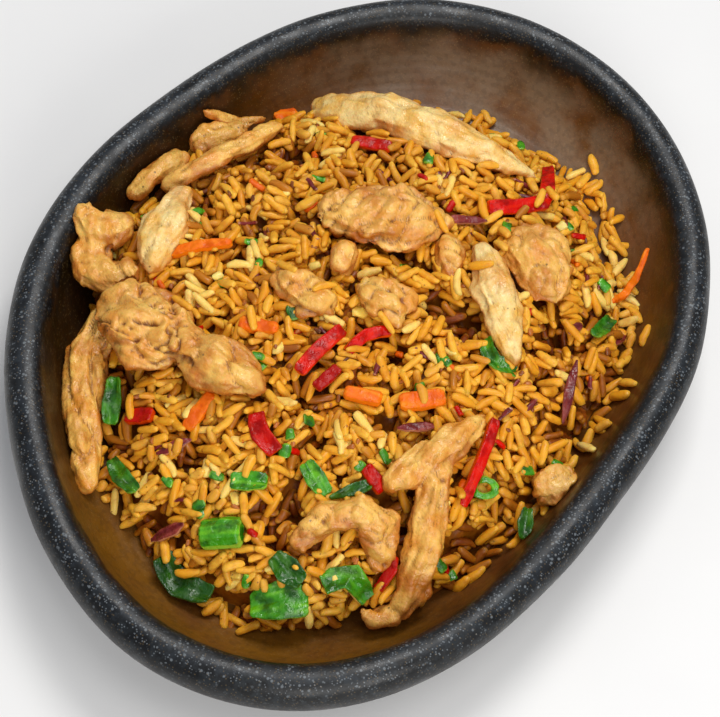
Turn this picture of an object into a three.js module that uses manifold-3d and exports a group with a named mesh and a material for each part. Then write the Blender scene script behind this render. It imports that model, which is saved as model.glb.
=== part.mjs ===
// Fried rice with chicken and vegetables on an oval stoneware dish.
// Millimetres, +Z up, +X along the dish's long axis, origin under the middle of the foot.

import * as THREE from 'three';
import { mergeVertices } from 'three/addons/utils/BufferGeometryUtils.js';
import Module from 'manifold-3d';

const wasm = await Module();
wasm.setup();

// Driving dimensions of the dish
const DISH_RADIUS = 116; // mean radius of the outer edge
const DISH_WAVES = [[2.2, 76], [15.1, 5], [2.6, 98], [2.2, -47]]; // hand-thrown oval: mm, degrees
const DISH_HEIGHT = 38;
const DISH_STEPS = 40; // facets round the edge
const FLOOR_HEIGHT = 9;
const FLOOR_INSET = 42; // the flat floor starts this far inside the edge
const LIP_INSET = 11; // inner edge of the thick rounded rim

// The dish's section as [distance in from the edge, height]
const INNER_WALL = [
  [FLOOR_INSET, FLOOR_HEIGHT], [30, 11], [22, 15], [17, 21], [14, 29], [12.4, 34], [LIP_INSET, 36.6],
];
const RIM = [[8.6, 37.7], [5.5, DISH_HEIGHT], [2.4, 36.4], [0.6, 33.6], [0, 30.5]];
const OUTER_WALL = [[0.6, 27], [2.6, 23], [8, 16], [17, 9], [27, 4.2], [32, 0]];
const FOOT_RING = [[39, 0], [40.5, 2.5]];

// Driving dimensions of the food
const HEAP_RADIUS = 93; // mean radius of the rice heap's footprint
const HEAP_WAVES = [[1.6, 177], [5.9, -9], [3.3, 114], [1.9, -5]];
const HEAP_HEIGHT = 35; // above the floor
const HEAP_STEPS = 38;
const HEAP_RINGS = 12;
const GAP = 0.35; // clearance between separate pieces

// The clumps that break up the heap's surface: height, half their size each way, how far their
// rows bend, and the share by which they sit below the dome
const CLUMP = { high: 1.9, long: 2.3, wide: 2.9, bends: [5, 4], sunk: 0.4 };

// Whole grains that show on the heap, and how they are spread over it
const GRAIN = { long: 8.5, wide: 2.5, high: 2.3, lift: 0.3, tilt: 0.5, sides: 5, rings: 4 };
const GRAIN_COUNT = 150;
const GRAIN_PLACES = 285; // places over the whole heap, as many lie under a topping
const GRAIN_EDGE = 0.98; // share of the heap's radius that has grains
const GRAIN_ROOM = 0.35; // share of a grain's length that it keeps from a topping

// Chicken: the size of its facets, how blunt it is, and the lumps of its girth as
// [share of the girth, swings round it, swings along it]
const MORSEL = { sides: 8, ringLength: 6, rings: [5, 10], blunt: 0.35, lumpLength: 5 };
const LUMPS = [[0.09, 0, 1], [0.1, 2, 1.7], [0.08, 3, -1.3]];

// Vegetables
const STALK = { sides: 10, squash: 0.78 }; // sides, and height for a width of one
const PEPPER_DEPTH = 2.4;
const CARROT_DEPTH = 2.6;
const RED_ONION_DEPTH = 1.5;
const LEAF = { depth: 1.3, gutter: 1.2 }; // its thickness, and how deep it is curled along
const CHIP = { long: 5, width: [3.4, 3.4, 3.4], depth: 1.8, lift: 0.9, steps: 1 };

const SAME_PLACE = 1e-3; // points closer than this are one
const PATH_CHECKS = 8; // places along a path at which its distance is tested

const COLOURS = {
  glaze: 0x3b3a38,
  rice: 0xd9a544,
  chicken: 0xd9a468,
  chickenPale: 0xe8bd83,
  pepper: 0xc8140a,
  carrot: 0xe8701a,
  onionGreen: 0x3f9c1e,
  onionDark: 0x1c5216,
  onionPale: 0x9ccc4a,
  onionRed: 0x8c3a54,
};
const ROUGHNESS = { glaze: 0.35, rice: 0.55, topping: 0.5 };

const radians = THREE.MathUtils.degToRad;
const UP = new THREE.Vector3(0, 0, 1);

// A small repeatable random sequence
function randomSource(seed) {
  let state = seed;
  return () => {
    state = (state * 1664525 + 1013904223) % 4294967296;
    return state / 4294967296;
  };
}

// Radius of a wavy oval in one direction
function ovalRadius(base, waves, angle) {
  return waves.reduce(
    (sum, [size, phase], i) => sum + size * Math.cos((i + 1) * angle + radians(phase)),
    base,
  );
}

const dishRadius = (angle) => ovalRadius(DISH_RADIUS, DISH_WAVES, angle);
const heapRadius = (angle) => ovalRadius(HEAP_RADIUS, HEAP_WAVES, angle);

// Height of the bare inside of the dish under a point
function wallHeight(x, y) {
  const inset = dishRadius(Math.atan2(y, x)) - Math.hypot(x, y);
  const next = INNER_WALL.findIndex(([reach]) => reach < inset);
  if (next === 0) return FLOOR_HEIGHT;
  if (next < 0) return INNER_WALL.at(-1)[1];
  const [[s0, z0], [s1, z1]] = [INNER_WALL[next - 1], INNER_WALL[next]];
  return THREE.MathUtils.mapLinear(inset, s0, s1, z0, z1);
}

// Height of the smooth rice dome over the floor, for a share of the footprint's radius
const domeHeight = (share) => FLOOR_HEIGHT + HEAP_HEIGHT * (1 - Math.min(share, 1) ** 2.5) ** 0.6;

function heapTop(x, y) {
  const share = Math.hypot(x, y) / heapRadius(Math.atan2(y, x));
  return Math.max(domeHeight(share), wallHeight(x, y));
}

// Turning a three.js geometry into a solid for joining and cutting, and back
function asSolid(geometry) {
  geometry.deleteAttribute('normal');
  geometry.deleteAttribute('uv');
  const merged = mergeVertices(geometry, SAME_PLACE);
  const index = merged.index.array;
  const faces = [];
  for (let i = 0; i < index.length; i += 3) {
    const [a, b, c] = index.slice(i, i + 3);
    if (a !== b && b !== c && c !== a) faces.push(a, b, c);
  }
  const vertProperties = new Float32Array(merged.attributes.position.array);
  return new wasm.Manifold(
    new wasm.Mesh({ numProp: 3, vertProperties, triVerts: new Uint32Array(faces) }),
  );
}

// Keeps the largest shell of a solid: loose scraps and sealed hollows are dropped
function asSingleBody(solid) {
  const { vertProperties, triVerts } = solid.getMesh();
  const parent = Array.from({ length: vertProperties.length / 3 }, (_, i) => i);
  const root = (i) => {
    let top = i;
    while (parent[top] !== top) top = parent[top];
    parent[i] = top;
    return top;
  };
  for (let i = 0; i < triVerts.length; i += 3) {
    parent[root(triVerts[i + 1])] = root(triVerts[i]);
    parent[root(triVerts[i + 2])] = root(triVerts[i]);
  }
  const counts = new Map();
  for (const vertex of triVerts) counts.set(root(vertex), (counts.get(root(vertex)) ?? 0) + 1);
  const largest = [...counts].sort((a, b) => b[1] - a[1])[0][0];
  const kept = [];
  for (let i = 0; i < triVerts.length; i += 3) {
    if (root(triVerts[i]) === largest) kept.push(...triVerts.slice(i, i + 3));
  }
  const whole = new THREE.BufferGeometry();
  whole.setAttribute('position', new THREE.BufferAttribute(new Float32Array(vertProperties), 3));
  whole.setIndex(kept);
  return mergeVertices(whole, SAME_PLACE / 100);
}

// Stretches a turned round shape to the dish's uneven oval
function stretchToOval(geometry) {
  const position = geometry.attributes.position;
  const flat = DISH_RADIUS - FLOOR_INSET;
  for (let i = 0; i < position.count; i += 1) {
    const [x, y] = [position.getX(i), position.getY(i)];
    const angle = Math.atan2(y, x);
    const round = Math.hypot(x, y);
    const edge = dishRadius(angle);
    const inner = ((edge - FLOOR_INSET) * round) / flat;
    const radius = round > flat ? edge - (DISH_RADIUS - round) : inner;
    position.setXY(i, radius * Math.cos(angle), radius * Math.sin(angle));
  }
  return geometry;
}

// A shape turned about Z from [inset, height] points, closed on the axis at both ends
function turned(bottom, section, top) {
  const rounds = section.map(([inset, height]) => new THREE.Vector2(DISH_RADIUS - inset, height));
  const profile = [new THREE.Vector2(0, bottom), ...rounds, new THREE.Vector2(0, top)];
  return stretchToOval(new THREE.LatheGeometry(profile, DISH_STEPS).rotateX(Math.PI / 2));
}

function makeDish() {
  const fromBelow = [...FOOT_RING].reverse().concat([...OUTER_WALL].reverse(), [...RIM].reverse());
  const section = fromBelow.concat([...INNER_WALL].reverse());
  return asSolid(turned(FOOT_RING.at(-1)[1], section, FLOOR_HEIGHT));
}

// The room over the dish, clear of its wall and of the inner half of its rim
function makeRoom() {
  const crest = RIM.findIndex(([, height]) => height === DISH_HEIGHT);
  const surface = [...INNER_WALL, ...RIM.slice(0, crest + 1)];
  const above = 3 * DISH_HEIGHT;
  const walls = surface.map(([inset, height]) => [inset + GAP, height + GAP]);
  walls.push([RIM[crest][0] + GAP, above]);
  return asSolid(turned(FLOOR_HEIGHT + GAP, walls, above));
}

// Frame of a path at one share of its length: place, direction, side and upward normal
function pathFrame(curve, share) {
  const along = curve.getTangentAt(share);
  const side = new THREE.Vector3().crossVectors(UP, along).normalize();
  const normal = new THREE.Vector3().crossVectors(along, side);
  return { place: curve.getPointAt(share), along, side, normal };
}

// A path over the food from [x, y, lift] points; lift is measured from the heap or the wall
function pathOver(points) {
  const places = points.map(([x, y, lift]) => new THREE.Vector3(x, y, heapTop(x, y) + lift));
  return new THREE.CatmullRomCurve3(places);
}

// Width along a piece: blends from the first value through the middle one to the last
function blend([first, middle, last], share) {
  const { lerp } = THREE.MathUtils;
  return share < 0.5 ? lerp(first, middle, share * 2) : lerp(middle, last, share * 2 - 1);
}

// A cooked piece of chicken: a blunt lumpy body along a path
function morsel({ path, width, depth, seed }, grow) {
  const curve = pathOver(path);
  const length = curve.getLength();
  const rings = Math.round(THREE.MathUtils.clamp(length / MORSEL.ringLength, ...MORSEL.rings));
  const geometry = new THREE.SphereGeometry(1, MORSEL.sides, rings);
  const position = geometry.attributes.position;
  for (let i = 0; i < position.count; i += 1) {
    const [x, y, z] = [position.getX(i), position.getY(i), position.getZ(i)];
    const share = (1 - y) / 2;
    const { place, along, side, normal } = pathFrame(curve, share);
    const angle = Math.atan2(z, x);
    const run = (share * length) / MORSEL.lumpLength;
    const swing = ([size, round, swings], k) => (
      size * Math.sin(round * angle + swings * run + (k + 1) * seed)
    );
    const lump = LUMPS.reduce((girth, row, k) => girth + swing(row, k), 1);
    const blunt = Math.max(Math.hypot(x, z), SAME_PLACE) ** -MORSEL.blunt;
    const across = x * blunt * lump * (blend(width, share) / 2) + x * grow;
    const high = z * blunt * lump * (blend(depth, share) / 2) + z * grow;
    place.addScaledVector(side, across).addScaledVector(normal, high);
    place.addScaledVector(along, -y * grow);
    position.setXYZ(i, place.x, place.y, place.z);
  }
  return asSolid(geometry);
}

// A cut strip or leaf: one flat grid, doubled to a thickness, with both faces split alike.
// A gutter raises both long edges over the middle line.
function strip({ path, width, depth, roll = [0, 0, 0], gutter = 0, steps = 4 }, grow) {
  const curve = pathOver(path);
  const columns = gutter ? 2 : 1;
  const plane = new THREE.PlaneGeometry(1, 1, steps, columns);
  const { position } = plane.attributes;
  const count = position.count;
  const points = [];
  for (const half of [1, -1]) {
    for (let i = 0; i < count; i += 1) {
      const [x, y] = [position.getX(i), position.getY(i)];
      const { place, along, side, normal } = pathFrame(curve, x + 0.5);
      const turn = radians(blend(roll, x + 0.5));
      side.applyAxisAngle(along, turn);
      normal.applyAxisAngle(along, turn);
      place.addScaledVector(along, Math.abs(x) === 0.5 ? 2 * x * grow : 0);
      place.addScaledVector(side, y * (blend(width, x + 0.5) + 2 * grow));
      place.addScaledVector(normal, half * (depth / 2 + grow) + gutter * (4 * y * y - 0.5));
      points.push(place.x, place.y, place.z);
    }
  }
  const faces = [];
  const upper = plane.index.array;
  const edges = new Set();
  for (let i = 0; i < upper.length; i += 3) {
    const corners = [upper[i], upper[i + 1], upper[i + 2]];
    faces.push(...corners);
    faces.push(corners[2] + count, corners[1] + count, corners[0] + count);
    corners.forEach((a, k) => edges.add(`${a},${corners[(k + 1) % 3]}`));
  }
  for (const edge of edges) {
    const [a, b] = edge.split(',').map(Number);
    if (edges.has(`${b},${a}`)) continue;
    faces.push(a, a + count, b + count, a, b + count, b);
  }
  const geometry = new THREE.BufferGeometry();
  geometry.setAttribute('position', new THREE.Float32BufferAttribute(points, 3));
  geometry.setIndex(faces);
  return asSolid(geometry);
}

// A short length of hollow spring onion stalk lying along its path, a little squashed
function stalk({ path, width, wall }, grow) {
  const curve = pathOver(path);
  const half = curve.getLength() / 2 + grow;
  const outer = width / 2 + grow;
  const inner = outer - wall - 2 * grow;
  const corners = [[inner, -half], [outer, -half], [outer, half], [inner, half], [inner, -half]];
  const profile = corners.map(([radius, height]) => new THREE.Vector2(radius, height));
  const geometry = new THREE.LatheGeometry(profile, STALK.sides).rotateX(Math.PI / 2);
  const { place, along, side, normal } = pathFrame(curve, 0.5);
  const frame = new THREE.Matrix4().makeBasis(side, normal.multiplyScalar(STALK.squash), along);
  return asSolid(geometry.applyMatrix4(frame.setPosition(place)));
}

// Several morsels grown together
function joined({ parts }, grow) {
  return parts.map((part) => morsel(part, grow)).reduce((whole, part) => whole.add(part));
}

// The toppings, uppermost first. Path points are [x, y, lift above the heap or wall].
const piece = (name, make, shape, colour) => ({ name, make, shape, colour });
const chicken = (name, shape, colour = COLOURS.chicken) => piece(`chicken_${name}`, morsel, shape, colour);
const cluster = (name, parts) => piece(`chicken_${name}`, joined, { parts }, COLOURS.chicken);
const cutStrip = (name, depth, shape, colour) => piece(name, strip, { depth, ...shape }, colour);
const pepper = (name, shape) => cutStrip(`pepper_${name}`, PEPPER_DEPTH, shape, COLOURS.pepper);
const carrot = (name, shape) => cutStrip(`carrot_${name}`, CARROT_DEPTH, shape, COLOURS.carrot);
const redOnion = (name, shape) => cutStrip(`red_onion_${name}`, RED_ONION_DEPTH, shape, COLOURS.onionRed);
const leaf = (name, shape, colour = COLOURS.onionGreen) => (
  piece(`spring_onion_${name}`, strip, { ...LEAF, ...shape }, colour)
);
const tube = (name, shape) => piece(`spring_onion_${name}`, stalk, shape, COLOURS.onionPale);

const CHICKEN = [
  chicken('strip_top', {
    path: [[69, 52, 3], [70, 36, 4], [71, 18, 4], [70, 0, 4], [72, -17, 4], [74, -29, 3]],
    width: [17, 17, 8], depth: [11, 12, 7], seed: 1,
  }, COLOURS.chickenPale),
  cluster('folded', [
    { path: [[-30, 69, 6], [-40, 53, 6], [-45, 37, 4]], width: [20, 30, 24], depth: [13, 16, 12], seed: 2 },
    { path: [[-38, 46, 5], [-43, 30, 4], [-46, 9, 4]], width: [18, 19, 14], depth: [13, 14, 10], seed: 3 },
    {
      path: [[-30, 60, 3], [-46, 68, 5], [-64, 61, 7], [-78, 53, 7], [-90, 43, 4]],
      width: [14, 14, 11], depth: [11, 12, 10], seed: 4,
    },
  ]),
  chicken('pale_finger', {
    path: [[33, -25, 4], [21, -36, 5], [10, -45, 5], [1, -53, 3]],
    width: [12, 15, 8], depth: [9, 10, 7], seed: 5,
  }, COLOURS.chickenPale),
  chicken('right', {
    path: [[50, -33, 2], [40, -44, 3], [29, -55, 3]], width: [17, 24, 15], depth: [9, 11, 9], seed: 6,
  }),
  chicken('right_small', {
    path: [[31, -15, 2], [17, -23, 2]], width: [8, 10, 8], depth: [7, 8, 7], seed: 7,
  }),
  chicken('centre_top', {
    path: [[21, 25, 3], [23, 10, 4], [29, -3, 4], [37, -14, 3]],
    width: [18, 26, 13], depth: [10, 12, 8], seed: 8,
  }),
  chicken('centre_small', {
    path: [[13, 11, 3], [0, 7, 3]], width: [8, 9, 8], depth: [7, 8, 6], seed: 9,
  }),
  chicken('centre_left', {
    path: [[-6, 26, 2], [-11, 14, 3], [-11, 3, 2]], width: [11, 16, 10], depth: [8, 10, 8], seed: 10,
  }),
  chicken('centre_right', {
    path: [[3, 0, 3], [-2, -9, 3], [4, -17, 3]], width: [12, 16, 11], depth: [8, 10, 8], seed: 11,
  }),
  cluster('forked', [
    {
      path: [[-18, -52, 3], [-33, -47, 4], [-45, -41, 4], [-55, -36, 3]],
      width: [7, 13, 11], depth: [6, 9, 7], seed: 12,
    },
    {
      path: [[-36, -46, 4], [-50, -50, 5], [-64, -54, 5], [-77, -56, 5], [-84, -51, 4], [-85, -44, 3]],
      width: [12, 12, 7], depth: [8, 9, 6], seed: 13,
    },
  ]),
  chicken('low', {
    path: [[-82, -21, 3], [-73, -24, 4], [-65, -31, 4], [-66, -41, 4], [-76, -45, 3]],
    width: [10, 13, 10], depth: [7, 9, 7], seed: 14,
  }),
  chicken('ragged', {
    path: [[-28, -74, 2], [-16, -84, 3]], width: [11, 15, 11], depth: [7, 8, 6], seed: 15,
  }),
  chicken('wide_left', {
    path: [[13, 68, 3], [-4, 66, 4], [-23, 62, 4]], width: [11, 15, 13], depth: [7, 9, 8], seed: 16,
  }),
  cluster('rim', [
    { path: [[-14, 93, 4], [-15, 85, 14], [-8, 75, 7]], width: [13, 13, 11], depth: [9, 11, 9], seed: 17 },
    {
      path: [[-15, 86, 13], [-26, 81, 11], [-28, 72, 6], [-22, 65, 5]],
      width: [13, 14, 12], depth: [10, 11, 9], seed: 18,
    },
  ]),
  chicken('thin_left', {
    path: [[10, 76, 3], [24, 67, 4], [35, 60, 4], [43, 58, 4], [52, 54, 3]],
    width: [7, 8, 6], depth: [5, 6, 5], seed: 19,
  }),
  chicken('sliver', {
    path: [[42, 79, 6], [49, 70, 6], [57, 62, 4]], width: [4, 6, 4], depth: [4, 5, 4], seed: 20,
  }),
  chicken('corner', {
    path: [[30, 76, 4], [38, 72, 5], [48, 65, 3]], width: [10, 13, 9], depth: [8, 9, 7], seed: 21,
  }),
  chicken('edge', {
    path: [[4, 85, 5], [16, 81, 6], [30, 77, 3]], width: [8, 9, 7], depth: [6, 7, 6], seed: 22,
  }),
];

const RED_PEPPER = [
  pepper('centre', {
    path: [[-35, 3, 1.6], [-26, 1, 2.2], [-16, -2, 1.6]], width: [4.4, 4.8, 4.4], roll: [15, 10, 20],
  }),
  pepper('curl', {
    path: [[-22, -7, 1.4], [-15, -9, 2.2], [-9, -15, 1.4]], width: [3.2, 3.8, 3.2], roll: [30, 20, 10],
  }),
  pepper('dark', { path: [[-37, -4, 1.2], [-28, -7, 1.2]], width: [3.6, 4, 3.6], roll: [0, 10, 0] }),
  pepper('long', {
    path: [[-45, -58, 1.4], [-31, -57, 2.2], [-17, -55, 1.4]], width: [3.2, 3.6, 3.2], roll: [20, 25, 20],
  }),
  pepper('ring', {
    path: [[50, -21, 1.2], [57, -29, 2], [64, -35, 3], [73, -33, 3], [86, -29, 2]],
    width: [4.6, 5.2, 3.8], roll: [30, 10, -20], steps: 7,
  }),
  pepper('glossy', {
    path: [[-52, 8, 1.4], [-57, 4, 2], [-60, -3, 1.4]], width: [5, 6, 5], roll: [10, 20, 10],
  }),
  pepper('left', { path: [[-65, 45, 1], [-63, 37, 1.4]], width: [4.6, 5, 4.2], roll: [0, 10, 0] }),
  pepper('under_strip', { path: [[54, 30, 1.2], [57, 17, 1.2]], width: [3.8, 4.2, 3.8], roll: [0, 10, 0] }),
  pepper('low', { path: [[-51, -28, 1.2], [-55, -36, 1.2]], width: [3.8, 4.2, 3.8] }),
  pepper('far_low', { path: [[-78, -47, 1.2], [-68, -49, 1.6]], width: [3, 3.4, 3] }),
];

const CARROT = [
  carrot('left', { path: [[-14, 60, 1.3], [-8, 52, 1.8], [-3, 43, 1.3]], width: [3, 3.4, 2.4] }),
  carrot('middle', { path: [[-28, 27, 1.4], [-25, 15, 1.6]], width: [4, 4.6, 3.4] }),
  carrot('square', { path: [[-34, -12, 1.4], [-31, -23, 1.4]], width: [4, 4.4, 4] }),
  carrot('broad', { path: [[-29, -28, 1.4], [-20, -39, 1.4]], width: [5, 6, 5] }),
  carrot('standing', {
    path: [[49, -68, 1], [56, -71, 6], [63, -72, 10], [69, -71, 12]],
    width: [2.4, 2.6, 1.6], depth: 1.8, steps: 6,
  }),
  carrot('far', { path: [[62, 62, 2.4], [69, 57, 2.4]], width: [4, 5, 4] }),
  carrot('diagonal', { path: [[-64, 25, 1.4], [-51, 23, 1.4]], width: [4, 4.6, 3] }),
];

const { onionPale, onionDark } = COLOURS;
const SPRING_ONION = [
  tube('tube', { path: [[-89, 6, 2.4], [-84, -5, 2.4]], width: 9.5, wall: 1.5 }),
  leaf('flat', {
    path: [[-99, -16, 3], [-95, -23, 3.4], [-91, -31, 3]], width: [8, 12, 9], roll: [0, 10, 0],
  }),
  leaf('short', { path: [[-73, 5, 2], [-69, -5, 2.4]], width: [5, 6.4, 5], roll: [10, 0, -10] }, onionPale),
  leaf('split', {
    path: [[-59, -12, 1.6], [-64, -22, 1.6]], width: [5, 6.4, 5], roll: [0, 10, 0],
  }, onionPale),
  leaf('blade_middle', {
    path: [[-65, -24, 1.6], [-55, -32, 2]], width: [3, 5, 3], roll: [0, 20, 0],
  }, onionDark),
  leaf('curl_left', { path: [[-55, 55, 2], [-68, 50, 2]], width: [4, 6, 5], roll: [20, 0, -20] }),
  leaf('blade_left', {
    path: [[-77, 44, 2], [-81, 38, 2.4], [-84, 31, 2]], width: [4, 6, 4], roll: [0, 20, 0],
  }),
  leaf('wet', {
    path: [[-97, 15, 2.4], [-101, 7, 2.4], [-101, -4, 2.4]], width: [7, 9, 6], roll: [0, 10, 0],
  }, onionDark),
  leaf('dark_low', {
    path: [[-86, -16, 2.4], [-88, -27, 2.4]], width: [5, 8, 5], roll: [0, 15, 0],
  }, onionDark),
  leaf('folded', {
    path: [[-86, -33, 3], [-80, -38, 3.4], [-82, -46, 3]], width: [6, 8, 5], roll: [0, 20, 0],
  }),
  leaf('hook', { path: [[4, -41, 2], [-1, -46, 2.6], [0, -54, 2]], width: [4, 5, 4], roll: [20, 10, 0] }),
  leaf('right', { path: [[30, -69, 2], [42, -71, 2]], width: [4, 5, 4], roll: [0, 10, 0] }),
  tube('ring', { path: [[-36, -61, 0.6], [-37.5, -61.6, 3.6]], width: 9, wall: 2.3 }),
  leaf('blade_right', {
    path: [[-32, -75, 2], [-42, -78, 2]], width: [3, 5, 3], roll: [0, 10, 0],
  }, onionDark),
];

const RED_ONION = [
  redOnion('arc', {
    path: [[28, -7, 1], [37, -12, 1.4], [45, -23, 1]], width: [2.4, 3, 2.4], roll: [20, 10, 0],
  }),
  redOnion('low_left', { path: [[-94, 20, 1.4], [-88, 12, 1.6]], width: [3, 3.8, 3] }),
  redOnion('shred_right', {
    path: [[-3, -73, 1], [8, -70, 1.4], [18, -68, 1]], width: [2.4, 3.2, 2.4], roll: [10, 0, -10],
  }),
  redOnion('behind', { path: [[24, -62, 1], [31, -64, 1.2]], width: [2.4, 3.4, 2.4] }),
  redOnion('edge', { path: [[34, -75, 1], [45, -76, 1]], width: [3, 3.8, 3] }),
  redOnion('middle', { path: [[-36, -31, 1], [-29, -41, 1]], width: [2.4, 3, 2.4] }),
  redOnion('left', { path: [[-73, 30, 1], [-66, 22, 1]], width: [2.4, 3, 2.4] }),
];

const TOPPINGS = [...CHICKEN, ...RED_PEPPER, ...CARROT, ...SPRING_ONION, ...RED_ONION];

// Bits too small to be pieces of their own, fused to the rice: [x, y, heading in degrees]
const CHIPS = [
  [58, 4, 20], [91, -2, 60], [89, -17, 30], [50, -64, 70], [-61, -64, 40], [-9, -34, 60], [-21, -31, 20],
  [-46, -32, 70], [-58, -5, 10], [-18, 14, 50], [8, 59, 30], [2, 47, 80], [47, -29, 20], [-22, -5, 60],
  [46, 39, 40], [49, 2, 80], [-94, -12, 30], [-12, -20, 90],
];

function makeChip([x, y, heading]) {
  const reach = CHIP.long / 2;
  const [dx, dy] = [reach * Math.cos(radians(heading)), reach * Math.sin(radians(heading))];
  const path = [[x - dx, y - dy, CHIP.lift], [x + dx, y + dy, CHIP.lift]];
  return strip({ ...CHIP, path }, 0);
}

// The rice dome, with its surface broken into clumps a few grains wide. It starts below the
// dish's floor, where the room over the dish cuts it off.
function makeCore() {
  const bottom = FLOOR_HEIGHT / 2;
  const profile = [new THREE.Vector2(0, bottom), new THREE.Vector2(1, bottom)];
  for (let ring = HEAP_RINGS; ring >= 0; ring -= 1) {
    const share = Math.sin((ring / HEAP_RINGS) * (Math.PI / 2));
    profile.push(new THREE.Vector2(share, domeHeight(share)));
  }
  const geometry = new THREE.LatheGeometry(profile, HEAP_STEPS).rotateX(Math.PI / 2);
  const { position } = geometry.attributes;
  for (let i = 0; i < position.count; i += 1) {
    const angle = Math.atan2(position.getY(i), position.getX(i));
    const radius = heapRadius(angle) * Math.hypot(position.getX(i), position.getY(i));
    const [x, y] = [radius * Math.cos(angle), radius * Math.sin(angle)];
    const rows = Math.sin(x / CLUMP.long + Math.sin(y / CLUMP.bends[0]));
    const columns = Math.sin(y / CLUMP.wide + Math.sin(x / CLUMP.bends[1]));
    const rise = position.getZ(i) > FLOOR_HEIGHT ? CLUMP.high * (rows * columns - CLUMP.sunk) : 0;
    position.setXYZ(i, x, y, position.getZ(i) + rise);
  }
  return asSolid(geometry);
}

// True where a place is clear of every topping
function isClear(place, reach) {
  return TOPPINGS.every(({ shape }) => {
    const parts = shape.parts ?? [shape];
    return parts.every(({ path, width }) => {
      const half = Math.max(...[width].flat()) / 2;
      const checks = pathOver(path).getPoints(PATH_CHECKS);
      return checks.every((point) => point.distanceTo(place) > half + reach);
    });
  });
}

// Direction that the heap's surface faces, from its heights a millimetre to each side
function heapNormal(x, y) {
  const slopeX = heapTop(x - 1, y) - heapTop(x + 1, y);
  const slopeY = heapTop(x, y - 1) - heapTop(x, y + 1);
  return new THREE.Vector3(slopeX, slopeY, 2).normalize();
}

// Grains spread evenly over the dome in a sunflower pattern, each turned its own way
function makeGrains() {
  const random = randomSource(7);
  const grains = [];
  const turn = Math.PI * (3 - Math.sqrt(5));
  for (let i = 0; grains.length < GRAIN_COUNT && i < 2 * GRAIN_PLACES; i += 1) {
    const angle = i * turn;
    const radius = heapRadius(angle) * Math.sqrt((i + 0.5) / GRAIN_PLACES) * GRAIN_EDGE;
    const [x, y] = [radius * Math.cos(angle), radius * Math.sin(angle)];
    const place = new THREE.Vector3(x, y, heapTop(x, y) + GRAIN.lift);
    const heading = random() * Math.PI * 2;
    const pitch = (random() - 0.5) * GRAIN.tilt;
    if (!isClear(place, GRAIN.long * GRAIN_ROOM)) continue;
    const lean = new THREE.Quaternion().setFromUnitVectors(UP, heapNormal(x, y));
    const spin = new THREE.Quaternion().setFromEuler(new THREE.Euler(0, pitch, heading, 'ZYX'));
    const size = new THREE.Vector3(GRAIN.long / 2, GRAIN.wide / 2, GRAIN.high / 2);
    const frame = new THREE.Matrix4().compose(place, lean.multiply(spin), size);
    const oval = new THREE.SphereGeometry(1, GRAIN.sides, GRAIN.rings).rotateZ(Math.PI / 2);
    grains.push(asSolid(oval.applyMatrix4(frame)));
  }
  return grains;
}

function addPiece(group, name, solid, colour, roughness) {
  const material = new THREE.MeshStandardMaterial({ color: colour, roughness, metalness: 0 });
  material.flatShading = true;
  const mesh = new THREE.Mesh(asSingleBody(solid), material);
  mesh.name = name;
  group.add(mesh);
}

const group = new THREE.Group();
const room = makeRoom();
addPiece(group, 'dish', makeDish(), COLOURS.glaze, ROUGHNESS.glaze);

let rice = [...makeGrains(), ...CHIPS.map(makeChip)].reduce((heap, bit) => heap.add(bit), makeCore());
const upper = [];
for (const { name, make, shape, colour } of TOPPINGS) {
  const cut = upper.reduce((solid, other) => solid.subtract(other), make(shape, 0).intersect(room));
  const grown = make(shape, GAP);
  upper.push(grown);
  rice = rice.subtract(grown);
  addPiece(group, name, cut, colour, ROUGHNESS.topping);
}
addPiece(group, 'rice', rice.intersect(room), COLOURS.rice, ROUGHNESS.rice);

export default group;
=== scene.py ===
# %% [markdown]
# # Chicken fried rice on an oval stoneware dish
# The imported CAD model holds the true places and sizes: the dish, the heap of rice, and every piece
# of chicken and vegetable. Its solids are plain and faceted. This lesson gives each of them the
# form and the finish of the real food: smooth thrown stoneware, thousands of single grains, torn
# chicken with fibres and folds, and glossy strips of vegetable.
# All shapes are worked out with numpy in millimetres and turned into meshes in metres.

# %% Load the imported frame
import math

import bpy
import numpy as np
from mathutils import Matrix, Vector
from mathutils.kdtree import KDTree


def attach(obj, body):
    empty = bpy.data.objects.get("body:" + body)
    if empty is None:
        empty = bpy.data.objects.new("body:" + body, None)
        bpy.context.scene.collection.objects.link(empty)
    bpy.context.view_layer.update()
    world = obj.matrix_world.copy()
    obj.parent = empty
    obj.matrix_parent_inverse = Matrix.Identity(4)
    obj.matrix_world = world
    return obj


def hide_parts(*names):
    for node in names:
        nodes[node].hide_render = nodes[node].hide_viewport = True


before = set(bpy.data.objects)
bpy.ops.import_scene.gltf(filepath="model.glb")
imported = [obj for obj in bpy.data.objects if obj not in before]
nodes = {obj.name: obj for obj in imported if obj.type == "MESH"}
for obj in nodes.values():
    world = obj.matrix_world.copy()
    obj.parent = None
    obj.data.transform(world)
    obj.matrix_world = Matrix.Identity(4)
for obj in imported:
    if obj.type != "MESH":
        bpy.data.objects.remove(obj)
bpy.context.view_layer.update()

# %% [markdown]
# ## Turning numbers into meshes
# A mesh can be drawn by hand, grown by modifiers, or written from arrays. Food is thousands of
# small uneven forms, so arrays are used: points, faces, and one value for each point where a finish
# needs to know more about the place, such as how deep it lies in a fold.

# %% From arrays to objects
MM = 0.001


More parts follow.
